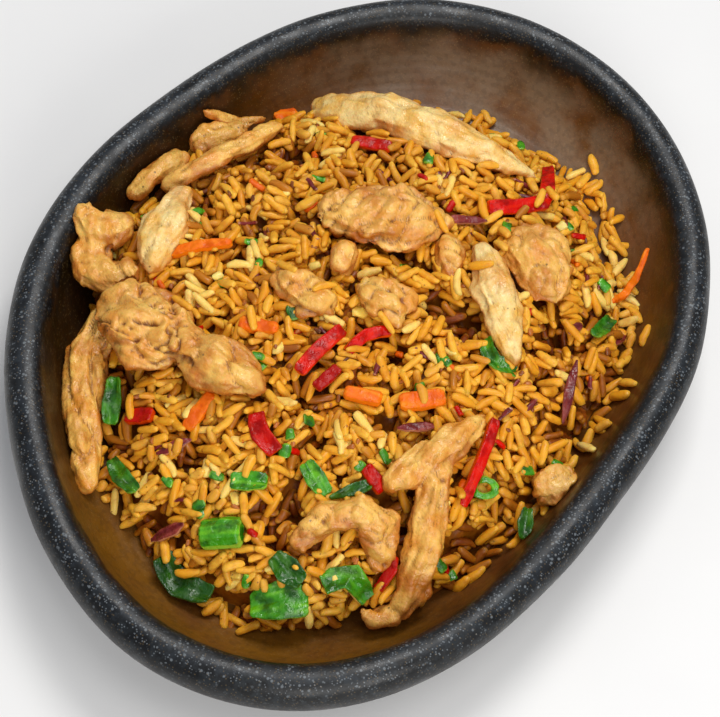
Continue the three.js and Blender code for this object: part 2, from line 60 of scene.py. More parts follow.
def mesh_object(name, points, faces, material, readings=None, slot=None):
    """A smooth-shaded object from points in millimetres, with named values on its points."""
    mesh = bpy.data.meshes.new(name)
    mesh.from_pydata((points * MM).tolist(), [], faces.tolist())
    for label, values in (readings or {}).items():
        stored = mesh.attributes.new(label, "FLOAT", "POINT")
        stored.data.foreach_set("value", np.asarray(values, np.float32))
    mesh.shade_smooth()
    mesh.materials.append(material)
    made = bpy.data.objects.new(name, mesh)
    bpy.context.scene.collection.objects.link(made)
    if slot:
        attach(made, "root")
    return made


# %% [markdown]
# ## Smooth random values
# Nothing on a plate is even. Random numbers on a coarse grid, blended smoothly between its corners,
# give swells and lumps of a chosen size. Blender's own noise would do it one point at a time, and
# numpy does it for all points at once. The table is seeded, so each run gives the same plate.

# %% Swells of a chosen size
NOISE_SIDE = 32
SEED_SHIFT = 3.71
NOISE_TABLE = np.random.default_rng(5).uniform(-1, 1, (NOISE_SIDE,) * 3)


def swell(points, size, seed=0.0):
    """Values between -1 and 1 that change smoothly over about `size` millimetres."""
    spot = points / size + seed * SEED_SHIFT
    cell = np.floor(spot).astype(int)
    part = spot - cell
    part = part * part * (3 - 2 * part)
    total = np.zeros(len(points))
    for corner in np.ndindex(2, 2, 2):
        at = (cell + corner) % NOISE_SIDE
        weight = np.prod(np.where(corner, part, 1 - part), axis=1)
        total += weight * NOISE_TABLE[at[:, 0], at[:, 1], at[:, 2]]
    return total


def ripple(values, low, high):
    """A smooth step from 0 at low to 1 at high."""
    share = np.clip((values - low) / (high - low), 0, 1)
    return share * share * (3 - 2 * share)


# %% [markdown]
# ## The camera
# The picture looks down on the dish at 60 degrees, nearly along its long axis and a little turned.
# A long lens keeps the far rim almost as wide as the near one. The camera could be moved by eye.
# Here its height, side and turn are three angles, so each can be set against the picture alone.

# %% Camera at the picture's angle
VIEW_HEIGHT = math.radians(60)
VIEW_SIDE = math.radians(-70)
VIEW_TURN = math.radians(8)
VIEW_DISTANCE = 600
LENS_LENGTH = 96
FILM_WIDTH = 36
LOOK_AT = Vector((-11.4, -7.3, 25.0))
back = Vector((
    math.sin(VIEW_SIDE) * math.cos(VIEW_HEIGHT),
    -math.cos(VIEW_SIDE) * math.cos(VIEW_HEIGHT),
    math.sin(VIEW_HEIGHT),
))
level = Vector((math.cos(VIEW_SIDE), math.sin(VIEW_SIDE), 0))
upright = back.cross(level)
right = math.cos(VIEW_TURN) * level + math.sin(VIEW_TURN) * upright
upward = math.cos(VIEW_TURN) * upright - math.sin(VIEW_TURN) * level

camera = bpy.data.objects.new("camera", bpy.data.cameras.new("camera"))
camera.data.lens = LENS_LENGTH
camera.data.sensor_width = FILM_WIDTH
camera.matrix_world = Matrix.Translation((LOOK_AT + back * VIEW_DISTANCE) * MM) @ (
    Matrix((right, upward, back)).transposed().to_4x4()
)
bpy.context.scene.collection.objects.link(camera)
bpy.context.scene.camera = camera
print("the camera stands at", [round(value, 3) for value in camera.location])

# %% [markdown]
# ## Writing finishes as nodes
# Each finish is a node tree. It could be wired by hand in the shader editor, but a few small
# helpers keep it short and easy to repeat: one adds a node and joins its inputs, others mix
# colours and masks, and one reads a value that was stored on the points.

# %% Helpers for node trees
def paint(red, green, blue):
    """A colour as it looks on screen, 0 to 255, in the linear values that shaders use."""
    shares = [value / 255 for value in (red, green, blue)]
    return (*(v / 12.92 if v < 0.0405 else ((v + 0.055) / 1.055) ** 2.4 for v in shares), 1)


def place(tree, kind, values=None, **settings):
    """Adds a node. A value is a number, a colour, or the output that feeds the socket."""
    made = tree.nodes.new(kind)
    for name, value in settings.items():
        setattr(made, name, value)
    for socket, value in (values or {}).items():
        if isinstance(value, bpy.types.NodeSocket):
            tree.links.new(value, made.inputs[socket])
        else:
            made.inputs[socket].default_value = value
    return made


def mixed(tree, share, first, second):
    """One colour over another, by a share from 0 to 1."""
    sockets = {0: share, 6: first, 7: second}
    return place(tree, "ShaderNodeMix", sockets, data_type="RGBA").outputs[2]


def counted(tree, operation, *values):
    """Arithmetic on values."""
    return place(tree, "ShaderNodeMath", dict(enumerate(values)), operation=operation).outputs[0]


def both(tree, first, second):
    """Two masks or shares multiplied: strong only where both are."""
    return counted(tree, "MULTIPLY", first, second)


def over(tree, below, mask, strength, above):
    """Lays one colour over another where a mask shows, never more than its strength."""
    return mixed(tree, both(tree, mask, strength), below, above)


def reading(tree, label):
    """A value stored on the points of the mesh."""
    return place(tree, "ShaderNodeAttribute", attribute_name=label).outputs["Fac"]


def spread(tree, value, low, high, first=0.0, last=1.0, kind="SMOOTHSTEP"):
    """Stretches a value from one range to another, with soft ends."""
    sockets = {0: value, 1: low, 2: high, 3: first, 4: last}
    return place(tree, "ShaderNodeMapRange", sockets, interpolation_type=kind).outputs[0]


def shaded(tree, value, stops):
    """Colours along a scale, given as (place, colour)."""
    made = place(tree, "ShaderNodeValToRGB", {0: value})
    scale = made.color_ramp.elements
    scale.remove(scale[1])
    scale[0].position, scale[0].color = stops[0]
    for at, colour in stops[1:]:
        scale.new(at).color = colour
    return made.outputs[0]


# %% [markdown]
# ## Effects that several finishes share
# Patches, specks, fine relief and a wet film turn up on the glaze, the meat, the rice and the
# vegetables alike. Copying the same nodes into each material would work, but then a change has to
# be made many times. Each is a node group, built once, with its size in millimetres as an input.

# %% A frame for an effect
def effect(name, inputs, output):
    """An empty node group with number inputs and one number output."""
    group = bpy.data.node_groups.new(name, "ShaderNodeTree")
    for label, value in inputs.items():
        socket = group.interface.new_socket(name=label, in_out="INPUT", socket_type="NodeSocketFloat")
        socket.default_value = value
    group.interface.new_socket(name=output, in_out="OUTPUT", socket_type="NodeSocketFloat")
    start = group.nodes.new("NodeGroupInput").outputs
    end = group.nodes.new("NodeGroupOutput").inputs[0]
    return group, start, end


def cloud(group, start, detail):
    """Soft noise at the group's own size and seed, in the object's own millimetres."""
    where = group.nodes.new("ShaderNodeTexCoord").outputs["Object"]
    scale = counted(group, "DIVIDE", 1 / MM, start["Size"])
    sockets = {"Vector": where, "Scale": scale, "Detail": detail, "W": start["Seed"]}
    return place(group, "ShaderNodeTexNoise", sockets, noise_dimensions="4D").outputs[0]


# %% Patches, a wet film and fine relief
patches, start, end = effect("patches", {"Size": 5, "Level": 0.5, "Softness": 0.1, "Seed": 0}, "Mask")
low = counted(patches, "SUBTRACT", start["Level"], start["Softness"])
high = counted(patches, "ADD", start["Level"], start["Softness"])
patches.links.new(spread(patches, cloud(patches, start, 4.0), low, high), end)

wet_film, start, end = effect("wet film", {"Size": 4, "Dry": 0.5, "Wet": 0.2, "Seed": 0}, "Roughness")
film = spread(wet_film, cloud(wet_film, start, 2.0), 0.4, 0.62, start["Dry"], start["Wet"])
wet_film.links.new(film, end)

relief, start, end = effect("fine relief", {"Size": 0.6, "Seed": 0}, "Height")
relief.links.new(cloud(relief, start, 3.0), end)

# %% Specks
specks, start, end = effect("specks", {"Size": 1, "Share": 0.3, "Seed": 0}, "Mask")
where = specks.nodes.new("ShaderNodeTexCoord").outputs["Object"]
moved = place(specks, "ShaderNodeVectorMath", {0: where, 1: start["Seed"]}, operation="ADD").outputs[0]
scale = counted(specks, "DIVIDE", 1 / MM, start["Size"])
dots = place(specks, "ShaderNodeTexVoronoi", {"Vector": moved, "Scale": scale}).outputs
picked = place(specks, "ShaderNodeSeparateColor", {0: dots["Color"]}).outputs[0]
kept = counted(specks, "LESS_THAN", picked, start["Share"])
round_dots = spread(specks, dots["Distance"], 0.2, 0.42, 1.0, 0.0)
specks.links.new(both(specks, kept, round_dots), end)
print("shared effects:", [group.name for group in bpy.data.node_groups])


# %% Materials that use them
def use(tree, group, **values):
    """Places a shared effect with its own values."""
    made = tree.nodes.new("ShaderNodeGroup")
    made.node_tree = group
    for label, value in values.items():
        made.inputs[label].default_value = value
    return made.outputs[0]


def new_finish(name, **constants):
    """A material with one Principled shader, whose plain numbers are set on the shader itself."""
    material = bpy.data.materials.new(name)
    material.use_nodes = True
    shader = material.node_tree.nodes["Principled BSDF"]
    for label, value in constants.items():
        shader.inputs[label.replace("_", " ")].default_value = value
    return material, material.node_tree, shader


def finish_with(tree, shader, colour, roughness, height, depth):
    """Joins the colour, the roughness and a bump of a depth in millimetres to the shader."""
    tree.links.new(colour, shader.inputs["Base Color"])
    tree.links.new(roughness, shader.inputs["Roughness"])
    sockets = {"Height": height, "Distance": depth * MM, "Strength": 1.0}
    tree.links.new(place(tree, "ShaderNodeBump", sockets).outputs[0], shader.inputs["Normal"])


# %% [markdown]
# ## The dish
# The dish was thrown on a wheel and pressed to an uneven oval. Its section could be drawn as a
# Bezier curve. As a few named points it is easier to change: a foot ring, a steep outer wall, a
# thick rounded rim and a bowl that runs out to a flat floor. Cutting the corners of that line again
# and again rounds it. The line is then carried round the oval, and slow swells and a spiral of
# shallow throwing rings keep it from looking machined.

# %% The dish's outline and section
DISH_RADIUS = 116
DISH_WAVES = ((2.2, 76), (15.1, 5), (2.6, 98), (2.2, -47))
FLOOR_HEIGHT = 9
FLOOR_INSET = 42
UNDERSIDE = ((DISH_RADIUS, 2.5), (60, 2.5), (40.5, 2.5), (39, 0), (32, 0))
OUTER_WALL = ((27, 4.2), (17, 9), (8, 16), (2.6, 23), (0.6, 27))
RIM = ((0, 30.5), (0.6, 33.6), (2.4, 36.4), (5.5, 38), (8.6, 37.7))
INNER_WALL = ((11, 36.6), (12.4, 34), (14, 29), (17, 21), (22, 15), (30, 11), (FLOOR_INSET, FLOOR_HEIGHT))
MIDDLE = ((80, FLOOR_HEIGHT), (DISH_RADIUS, FLOOR_HEIGHT))


def oval(base, waves, angle):
    """Radius of a wavy oval in each direction."""
    swings = (size * np.cos((i + 1) * angle + math.radians(turn)) for i, (size, turn) in enumerate(waves))
    return base + sum(swings)


def cut_corners(line, rounds):
    """Rounds an open line by cutting each corner a quarter of the way, again and again."""
    for _ in range(rounds):
        early = 0.75 * line[:-1] + 0.25 * line[1:]
        late = 0.25 * line[:-1] + 0.75 * line[1:]
        line = np.vstack([line[:1], np.stack([early, late], 1).reshape(-1, 2), line[-1:]])
    return line


section = cut_corners(np.array(UNDERSIDE + OUTER_WALL + RIM + INNER_WALL + MIDDLE, float), 3)
run = np.r_[0, np.cumsum(np.hypot(*np.diff(section, axis=0).T))]
zone = run - run[np.argmax(section[:, 1])]
print("the dish's section has", len(section), "points and", round(run[-1]), "mm of line")

# %% [markdown]
# ## The glaze
# The glaze ran while it melted: it is thick and nearly black outside, thin and blue-grey on the
# crest of the rim, where pale flecks show, and brown inside, with amber where it broke at the near
# end. Two marks inside are painted light: a pale grey patch on the far wall is a painted sheen, and
# the wall along one long side is painted nearly black as shade. It could be painted on by hand as
# an image. Here one number on each point says how far along the section it lies, and colours follow
# that line, so the glaze fits the dish from every side.

# %% Where the glaze changes
# All zones are in millimetres of the section's line, from the crest of the rim inwards
glaze, tree, shader = new_finish("glazed_stoneware", IOR=1.5, Specular_IOR_Level=0.36)
LINE_FROM, LINE_TO = -30, 50
wander = use(tree, relief, Size=9, Seed=2)
zone_mm = counted(tree, "ADD", reading(tree, "zone"), spread(tree, wander, 0.3, 0.7, -2.2, 2.2))
ramp_place = spread(tree, zone_mm, LINE_FROM, LINE_TO, kind="LINEAR")
on_rim = counted(tree, "SUBTRACT", spread(tree, zone_mm, -17, -11), spread(tree, zone_mm, 5, 8))
on_crest = counted(tree, "SUBTRACT", spread(tree, zone_mm, -7, -3), spread(tree, zone_mm, 1, 5))
inside = spread(tree, zone_mm, 7, 11)
whereabouts = tree.nodes.new("ShaderNodeTexCoord").outputs["Object"]
along_dish, across_dish, _ = place(tree, "ShaderNodeSeparateXYZ", {0: whereabouts}).outputs
print("the bands run from", LINE_FROM, "to", LINE_TO, "mm of the line")

# %% Bands of the glaze
outer_band = [
    (0.0, paint(28, 18, 12)), (0.2, paint(26, 19, 16)), (0.27, paint(8, 9, 10)), (0.34, paint(9, 11, 14)),
]
rim_band = [(0.375, paint(32, 37, 43)), (0.41, paint(12, 14, 17)), (0.45, paint(10, 11, 12))]
inner_band = [
    (0.475, paint(16, 10, 4)), (0.52, paint(46, 28, 4)), (0.6, paint(82, 48, 8)),
    (0.74, paint(108, 66, 22)), (1.0, paint(104, 62, 16)),
]
band = shaded(tree, ramp_place, outer_band + rim_band + inner_band)
print("bands of glaze:", len(outer_band + rim_band + inner_band), "colours")

# %% Painted shade, breaks and painted sheen inside the dish
breaks = both(tree, use(tree, patches, Size=16, Level=0.52, Softness=0.12, Seed=3), inside)
amber = both(tree, spread(tree, along_dish, -0.06, -0.105), inside)
amber = both(tree, amber, use(tree, patches, Size=22, Level=0.4, Softness=0.2, Seed=9))
# Painted shade: the inner wall on the side of positive y faces away from the light and is painted nearly
# black, less so towards the far end
painted_side_shade = both(tree, spread(tree, across_dish, 0.02, 0.085, 0, 0.85), inside)
painted_side_shade = both(tree, painted_side_shade, spread(tree, along_dish, 0.0, 0.07, 1, 0.2))
# Painted sheen: a pale grey patch on the far wall paints the reflection of the light
painted_far_sheen = both(tree, spread(tree, along_dish, 0.06, 0.1), spread(tree, zone_mm, 9, 20))
painted_far_sheen = both(tree, painted_far_sheen, use(tree, patches, Size=14, Level=0.44, Softness=0.14, Seed=12))
colour = over(tree, band, breaks, 0.55, paint(104, 60, 26))
colour = over(tree, colour, amber, 0.65, paint(132, 90, 18))
# The painted shade on that side wall
colour = mixed(tree, painted_side_shade, colour, paint(22, 13, 1))
# The painted sheen laid over the far wall
colour = over(tree, colour, painted_far_sheen, 0.55, paint(134, 116, 94))

# %% Flecks and dark spots
mottle = both(tree, use(tree, patches, Size=2.6, Level=0.54, Softness=0.06, Seed=11), on_rim)
dark_spots = both(tree, use(tree, patches, Size=1.8, Level=0.54, Softness=0.06, Seed=6), 0.6)
dark_spots = both(tree, dark_spots, spread(tree, inside, 0, 1, 1, 0.3))
small_flecks = use(tree, specks, Size=0.7, Share=0.4)
flecks = counted(tree, "MAXIMUM", small_flecks, use(tree, specks, Size=1.3, Share=0.3, Seed=4))
fleck_share = spread(tree, on_crest, 0, 1, 0.09, 0.42)
pale_flecks = both(tree, flecks, both(tree, on_rim, fleck_share))
inner_flecks = use(tree, specks, Size=0.7, Share=0.3, Seed=7)
colour = over(tree, colour, mottle, 0.14, paint(70, 80, 88))
colour = mixed(tree, dark_spots, colour, paint(18, 20, 22))
colour = mixed(tree, pale_flecks, colour, paint(142, 150, 156))
colour = over(tree, colour, inner_flecks, 0.16, paint(170, 140, 90))
sheen = use(tree, wet_film, Size=7, Dry=0.46, Wet=0.34, Seed=5)
finish_with(tree, shader, colour, sheen, use(tree, relief, Size=0.9, Seed=1), 0.07)
print("the glaze has", len(tree.nodes), "nodes")

# %% [markdown]
# ## The dish's mesh
# A Screw modifier turns a line into a round dish, but this one is oval and uneven, so each ring of
# points is placed by its own distance from the dish's edge. The rings are joined by triangles and
# closed by one point under the dish and one in the middle of its floor.

# %% Rings closed by a point at each end
def capped_rings(rings, steps):
    """Triangles over one end point, rings of points in order, and another end point."""
    row = 1 + np.arange(rings - 1)[:, None] * steps
    here = np.arange(steps)
    after = (here + 1) % steps
    a, b = row + here, row + after
    c, d = a + steps, b + steps
    walls = np.concatenate([np.stack([a, b, d], -1).reshape(-1, 3), np.stack([a, d, c], -1).reshape(-1, 3)])
    last_ring, last = row[-1, 0] + steps, 1 + rings * steps
    first_cap = np.stack([0 * here, after + 1, here + 1], -1)
    last_cap = np.stack([here + last_ring, after + last_ring, 0 * here + last], -1)
    return np.concatenate([walls, first_cap, last_cap])


# %% Carrying the section round the oval
DISH_STEPS = 224
SWELL_SIZE, SWELL_OUT, SWELL_UP = 26, 0.45, 0.3
SWELL_LAG = 40
RING_STEP, RING_DEPTH = 3.4, 0.09


def dish_points(inset, height, run_mm):
    """Carries the section round the oval, with a potter's unevenness."""
    angle = np.arange(DISH_STEPS) * 2 * math.pi / DISH_STEPS
    edge = oval(DISH_RADIUS, DISH_WAVES, angle)
    flat = DISH_RADIUS - FLOOR_INSET
    turned = DISH_RADIUS - inset[:, None]
    radius = np.where(turned > flat, edge - inset[:, None], (edge - FLOOR_INSET) * turned / flat)
    level_mm = np.repeat(height[:, None], DISH_STEPS, axis=1)
    points = np.stack([radius * np.cos(angle), radius * np.sin(angle), level_mm], -1)
    slow = swell(points.reshape(-1, 3), SWELL_SIZE, 1).reshape(radius.shape) * ripple(height, 3, 8)[:, None]
    outward = np.stack([np.cos(angle), np.sin(angle), 0 * angle], -1)
    spiral = np.sin(2 * math.pi * run_mm[:, None] / RING_STEP + angle) * ripple(run_mm, 9, 14)[:, None]
    points = points + SWELL_OUT * slow[..., None] * outward
    points[..., 2] += SWELL_UP * np.roll(slow, SWELL_LAG, axis=1) + RING_DEPTH * spiral
    return points.reshape(-1, 3)


inset, height = section.T
under = [0, 0, height[0]]
middle = [0, 0, height[-1]]
points = np.vstack([under, dish_points(inset[1:-1], height[1:-1], zone[1:-1]), middle])
dish_zone = np.r_[zone[0], np.repeat(zone[1:-1], DISH_STEPS), zone[-1]]
faces = capped_rings(len(section) - 2, DISH_STEPS)
dish = mesh_object("dish_thrown", points, faces, glaze, {"zone": dish_zone}, "glazed_stoneware")
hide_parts("dish")
print("the dish has", len(faces), "faces")

# %% [markdown]
# ## From a faceted solid to a soft form
# Each piece of meat or vegetable starts from its CAD solid, so its place and size stay true. A
# sculptor would rub the facets away by hand. Here a voxel remesh covers a copy of the solid with
# even square faces, and smoothing that swells as much as it shrinks rounds it without losing size.

# %% An evenly meshed copy of a solid
STEPS_IN_OUT = (0.6, -0.62)


def fine_copy(node, voxel):
    """Points in millimetres and square faces of a remeshed copy of a CAD solid."""
    copy = bpy.data.objects.new("copy", nodes[node].data.copy())
    bpy.context.scene.collection.objects.link(copy)
    remesh = copy.modifiers.new("even squares", "REMESH")
    remesh.mode = "VOXEL"
    remesh.voxel_size = voxel * MM
    mesh = copy.evaluated_get(bpy.context.evaluated_depsgraph_get()).to_mesh()
    points = np.empty(3 * len(mesh.vertices))
    mesh.vertices.foreach_get("co", points)
    corners = np.empty(len(mesh.loops), np.int32)
    mesh.loops.foreach_get("vertex_index", corners)
    bpy.data.objects.remove(copy)
    return points.reshape(-1, 3) / MM, corners.reshape(-1, 4)


def edges_of(faces):
    """Each pair of joined points, once."""
    pairs = np.stack([faces, np.roll(faces, -1, axis=1)], -1).reshape(-1, 2)
    return np.unique(np.sort(pairs, axis=1), axis=0)


def neighbour_mean(values, edges):
    """The mean of each point's neighbours."""
    one = np.concatenate([edges[:, 0], edges[:, 1]])
    other = np.concatenate([edges[:, 1], edges[:, 0]])
    count = len(values)
    sums = [np.bincount(one, column[other], count) for column in values.reshape(count, -1).T]
    return (np.stack(sums, 1) / np.bincount(one, minlength=count)[:, None]).reshape(values.shape)


def rounded(points, edges, rounds):
    """Smooths a form and keeps its size, by steps in and out again."""
    for step in STEPS_IN_OUT * rounds:
        points = points + step * (neighbour_mean(points, edges) - points)
    return points


def outward_of(points, faces):
    """The outward direction at each point."""
    across = points[faces[:, 2]] - points[faces[:, 0]]
    other = points[faces[:, 3]] - points[faces[:, 1]]
    normal = np.cross(across, other)
    total = np.zeros_like(points)
    for corner in range(4):
        np.add.at(total, faces[:, corner], normal)
    return total / np.maximum(np.linalg.norm(total, axis=1, keepdims=True), 1e-9)


# %% [markdown]
# ## Which way the fibres run
# Muscle fibres, veins and the pale streaks of carrot run along a piece. An arrow for each piece
# could be written down by hand, but it would be wrong wherever the piece bends. So the long way is
# found from the form itself: round each point, the piece reaches furthest along its fibres and
# least through its thickness. Combing random values that way gives streaks that follow every bend.

# %% Long and thin directions of a piece
PROBES = 28


def grain_of(points, reach):
    """The long direction and the thin direction of the form round each point."""
    centres = points[np.linspace(0, len(points) - 1, PROBES).astype(int)]
    away = points[None] - centres[:, None]
    near = np.exp(-(away ** 2).sum(-1) / (2 * reach ** 2))
    weight = near / near.sum(1, keepdims=True)
    middle = (weight[..., None] * points[None]).sum(1)
    away = points[None] - middle[:, None]
    spreads = np.einsum("cp,cpi,cpj->cij", weight, away, away)
    share = near / near.sum(0, keepdims=True)
    local = np.einsum("cp,cij->pij", share, spreads)
    directions = np.linalg.eigh(local)[1]
    return directions[:, :, 2], directions[:, :, 0]


# %% Combing values along the fibres
# How many voxels a step along a fibre covers
FIBRE_STEP = 1.3


def fibre_paths(points, along, step):
    """For each point, the nearest one a step ahead along its fibre, and a step behind."""
    tree = KDTree(len(points))
    for index, point in enumerate(points):
        tree.insert(point, index)
    tree.balance()
    ahead = np.array([tree.find(point)[1] for point in points + step * along])
    behind = np.array([tree.find(point)[1] for point in points - step * along])
    return ahead, behind


def combed(values, along, paths, steps):
    """Averages values along the fibres, and gives them a spread of one again."""
    total = values.copy()
    for start_way, turn in ((0, 1), (1, -1)):
        at, heading = paths[start_way], turn * along
        for _ in range(steps):
            total += values[at]
            same = (along[at] * heading).sum(1) >= 0
            heading = np.where(same[:, None], along[at], -along[at])
            at = np.where(same, paths[0][at], paths[1][at])
    return (total - total.mean()) / total.std()


# %% [markdown]
# ## Chicken
# The chicken is thigh and breast torn into strips and fried: pale cream where it is thick, honey
# and brown where it touched the pan, with fibres along each strip, deep folds between the muscles
# and flecks of seasoning. The folds and fibres are real relief. The brown could be painted where it
# belongs, but masks that read the relief find those places by themselves, on every piece. The brown
# mask on the sides, undersides and sharp edges is partly searing and partly painted shade, and the
# folds are painted dark as shade.

# %% The chicken's finish
def chicken_finish(name, cream, honey, brown):
    """Fried meat: cream and honey patches, toasted mottling, sides browned partly by searing and partly by
    painted shade, folds painted dark as shade, and oil.
    """
    material, tree, shader = new_finish(
        name, Specular_IOR_Level=0.6,
        Subsurface_Weight=0.15, Subsurface_Scale=1.2 * MM, Subsurface_Radius=(1.0, 0.4, 0.15))
    colour = mixed(tree, use(tree, patches, Size=6.5, Level=0.54, Softness=0.14), cream, honey)
    colour = mixed(tree, spread(tree, reading(tree, "fibre"), -1.6, 1.8, 0, 0.4), colour, honey)
    toasted = use(tree, patches, Size=2.4, Level=0.55, Softness=0.1, Seed=4)
    colour = over(tree, colour, toasted, 0.2, brown)
    uneven = use(tree, patches, Size=3, Level=0.4, Softness=0.16, Seed=2)
    # Sides and undersides: partly searing, partly painted shade
    colour = over(tree, colour, both(tree, reading(tree, "seared_and_painted_shade"), uneven), 0.8, brown)
    grit = use(tree, patches, Size=0.9, Level=0.62, Softness=0.06, Seed=8)
    colour = over(tree, colour, grit, 0.16, paint(168, 88, 24))
    # Painted shade in the folds
    colour = over(tree, colour, reading(tree, "painted_fold_shade"), 0.85, paint(122, 54, 12))
    seasoning = use(tree, specks, Size=1.2, Share=0.008, Seed=3)
    colour = over(tree, colour, seasoning, 0.7, paint(76, 38, 12))
    sheen = use(tree, wet_film, Size=2.2, Dry=0.46, Wet=0.2)
    finish_with(tree, shader, colour, sheen, use(tree, relief, Size=0.8), 0.35)
    return material


fried = chicken_finish(
    "fried_chicken", cream=paint(247, 198, 98), honey=paint(226, 150, 50), brown=paint(178, 88, 16))
pale_fried = chicken_finish(
    "pale_fried_chicken", cream=paint(252, 224, 150), honey=paint(238, 182, 78), brown=paint(202, 116, 28))
print("finishes of the chicken:", fried.name, "and", pale_fried.name)

# %% [markdown]
# ## Folds, lumps and creases
# Torn meat could be sculpted with a brush. Pushing each point out or in by a sum of swells does
# the same work the same way each time: combed swells make muscles and fibres, plain ones make
# knobs and lumps, and the folded piece has creases along lines that show in the picture.

# %% How folded and how knobbly each piece is
CHICKEN_VOXEL = 0.55
PLAIN_FOLDS = (0.35, 0.3)
FOLDS = {
    "chicken_folded": (0.95, 0.25), "chicken_rim": (0.6, 0.4), "chicken_centre_top": (0.7, 0.8),
    "chicken_centre_left": (0.7, 0.9), "chicken_centre_right": (0.7, 0.9), "chicken_centre_small": (0.3, 0.6),
    "chicken_right": (0.5, 0.6), "chicken_right_small": (0.4, 0.6), "chicken_low": (0.6, 0.7),
    "chicken_forked": (0.5, 0.4), "chicken_ragged": (0.5, 0.9), "chicken_corner": (0.5, 0.6),
}
PALE_CHICKEN = ("chicken_strip_top", "chicken_pale_finger", "chicken_wide_left")
print("pieces with folds of their own:", len(FOLDS))

# %% Creases of the folded piece
# Lines over the top of the piece, in millimetres
CREASES = {
    "chicken_folded": (
        ((-50, 60), (-48.5, 58.5), (-43, 50.5), (-36, 46)),
        ((-52, 58), (-50, 50), (-45.6, 45), (-38, 41.5)),
        ((-27, 63), (-30, 57), (-31, 50), (-33, 46)),
        ((-36, 47), (-38.6, 43), (-42, 39), (-47.5, 36)),
        ((-43, 64), (-48.8, 61), (-50, 57)),
    ),
}
CREASE_HALF = 1.1
LIP_PLACE, LIP_HALF, LIP_SHARE = 2.6, 1.2, 0.3
print("creases:", {node: len(lines) for node, lines in CREASES.items()})


def creased(points, out, node):
    """How deep each point lies in a wavering crease of its piece, from 0 to 1."""
    deepest = np.zeros(len(points))
    strayed = np.stack([swell(points, 4.5, 41), swell(points, 4.5, 42)], 1)
    finely = np.stack([swell(points, 1.8, 43), swell(points, 1.8, 44)], 1)
    plan = points[:, :2] + 4.5 * strayed + 1.6 * finely
    for line in CREASES.get(node, ()):
        for start_at, end_at in zip(np.array(line, float)[:-1], np.array(line, float)[1:]):
            way = end_at - start_at
            share = np.clip(((plan - start_at) @ way) / (way @ way), 0, 1)
            away = np.linalg.norm(plan - start_at - share[:, None] * way, axis=1)
            groove = np.exp(-(away / CREASE_HALF) ** 2)
            lip = np.exp(-((away - LIP_PLACE) / LIP_HALF) ** 2)
            deepest = np.maximum(deepest, groove - LIP_SHARE * lip)
    uneven = np.clip(0.8 + 1.2 * swell(points, 3.5, 45), 0.15, 1)
    return deepest * ripple(out[:, 2], 0.0, 0.4) * uneven


# %% Forming one piece of chicken
# Sizes of muscles, bundles of fibres, single fibres and knobs, in millimetres
MUSCLE, BUNDLE, FIBRE, KNOB = 7.5, 1.9, 0.8, 4.2
# Size and height of small lumps, in millimetres
LUMPS = ((5.5, 0.6), (2.6, 0.24), (1.3, 0.1))
FOLD_HEIGHT = 2.0
KNOB_HEIGHT = 2.4
CREASE_DEPTH = 2.1
topping_spots = {}


def form_chicken(node, seed):
    """Rounds a solid, then presses in folds, raises muscles and draws fibres along it."""
    points, faces = fine_copy(node, CHICKEN_VOXEL)
    edges = edges_of(faces)
    points = rounded(points, edges, 9)
    along, _ = grain_of(points, 7)
    paths = fibre_paths(points, along, FIBRE_STEP * CHICKEN_VOXEL)
    out = outward_of(points, faces)
    folded, knobbly = FOLDS.get(node, PLAIN_FOLDS)
    muscle = combed(swell(points, MUSCLE, seed), along, paths, 12)
    pillow = np.minimum(np.abs(muscle), 1.2) ** 0.5
    bundle = combed(swell(points, BUNDLE, seed + 10), along, paths, 6)
    fibre = combed(swell(points, FIBRE, seed + 20), along, paths, 5)
    knobs = np.abs(swell(points, KNOB, seed + 33)) ** 0.5 - 0.5
    lump = sum(high * swell(points, size, seed + 30 + k) for k, (size, high) in enumerate(LUMPS))
    rise = FOLD_HEIGHT * folded * (pillow - 0.85) + KNOB_HEIGHT * knobbly * knobs
    rise = rise + lump + 0.2 * bundle + 0.09 * fibre
    rise = rise + 0.35 * knobbly * swell(points, 1.6, seed + 35) - CREASE_DEPTH * creased(points, out, node)
    points = points + out * rise[:, None]
    points = points + 0.25 * (neighbour_mean(points, edges) - points)
    hollow = ((neighbour_mean(points, edges) - points) * out).sum(1)
    hollow = neighbour_mean(hollow, edges)
    # Painted shade: the hollows of folds are marked to be painted dark
    painted_fold_shade = np.clip(9 * np.clip(hollow - 0.014, 0, None), 0, 1)
    # Searing with painted shade: sides, undersides and sharp edges are marked brown, tops stay pale
    seared_and_painted_shade = ripple(0.9 * swell(points, 8, seed + 50) - 4 * hollow - 1.7 * out[:, 2], -1.5, -0.2)
    finish = pale_fried if node in PALE_CHICKEN else fried
    readings = {"fibre": 0.7 * fibre + 0.5 * bundle, "painted_fold_shade": painted_fold_shade, "seared_and_painted_shade": seared_and_painted_shade}
    piece = mesh_object(node + "_torn", points, faces, finish, readings, "chicken")
    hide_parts(node)
    topping_spots[node] = (points, faces)


chicken_nodes = sorted(node for node in nodes if node.startswith("chicken_"))
for number, node in enumerate(chicken_nodes):
    form_chicken(node, 1 + number)
print("chicken pieces:", len(chicken_nodes), "with", sum(len(f) for _, f in topping_spots.values()), "faces")

# %% [markdown]
# ## Strips of vegetable
# Pepper, carrot, spring onion and red onion are cut strips, leaves and rings. They could be bent
# from flat planes with a Solidify modifier, but their solids already lie in the right places. Each
# has a skin side and cut sides of another colour, so the finish is told how far a place faces along
# the thin direction. A slow swell, the same on both faces, makes the thin pieces wavy.

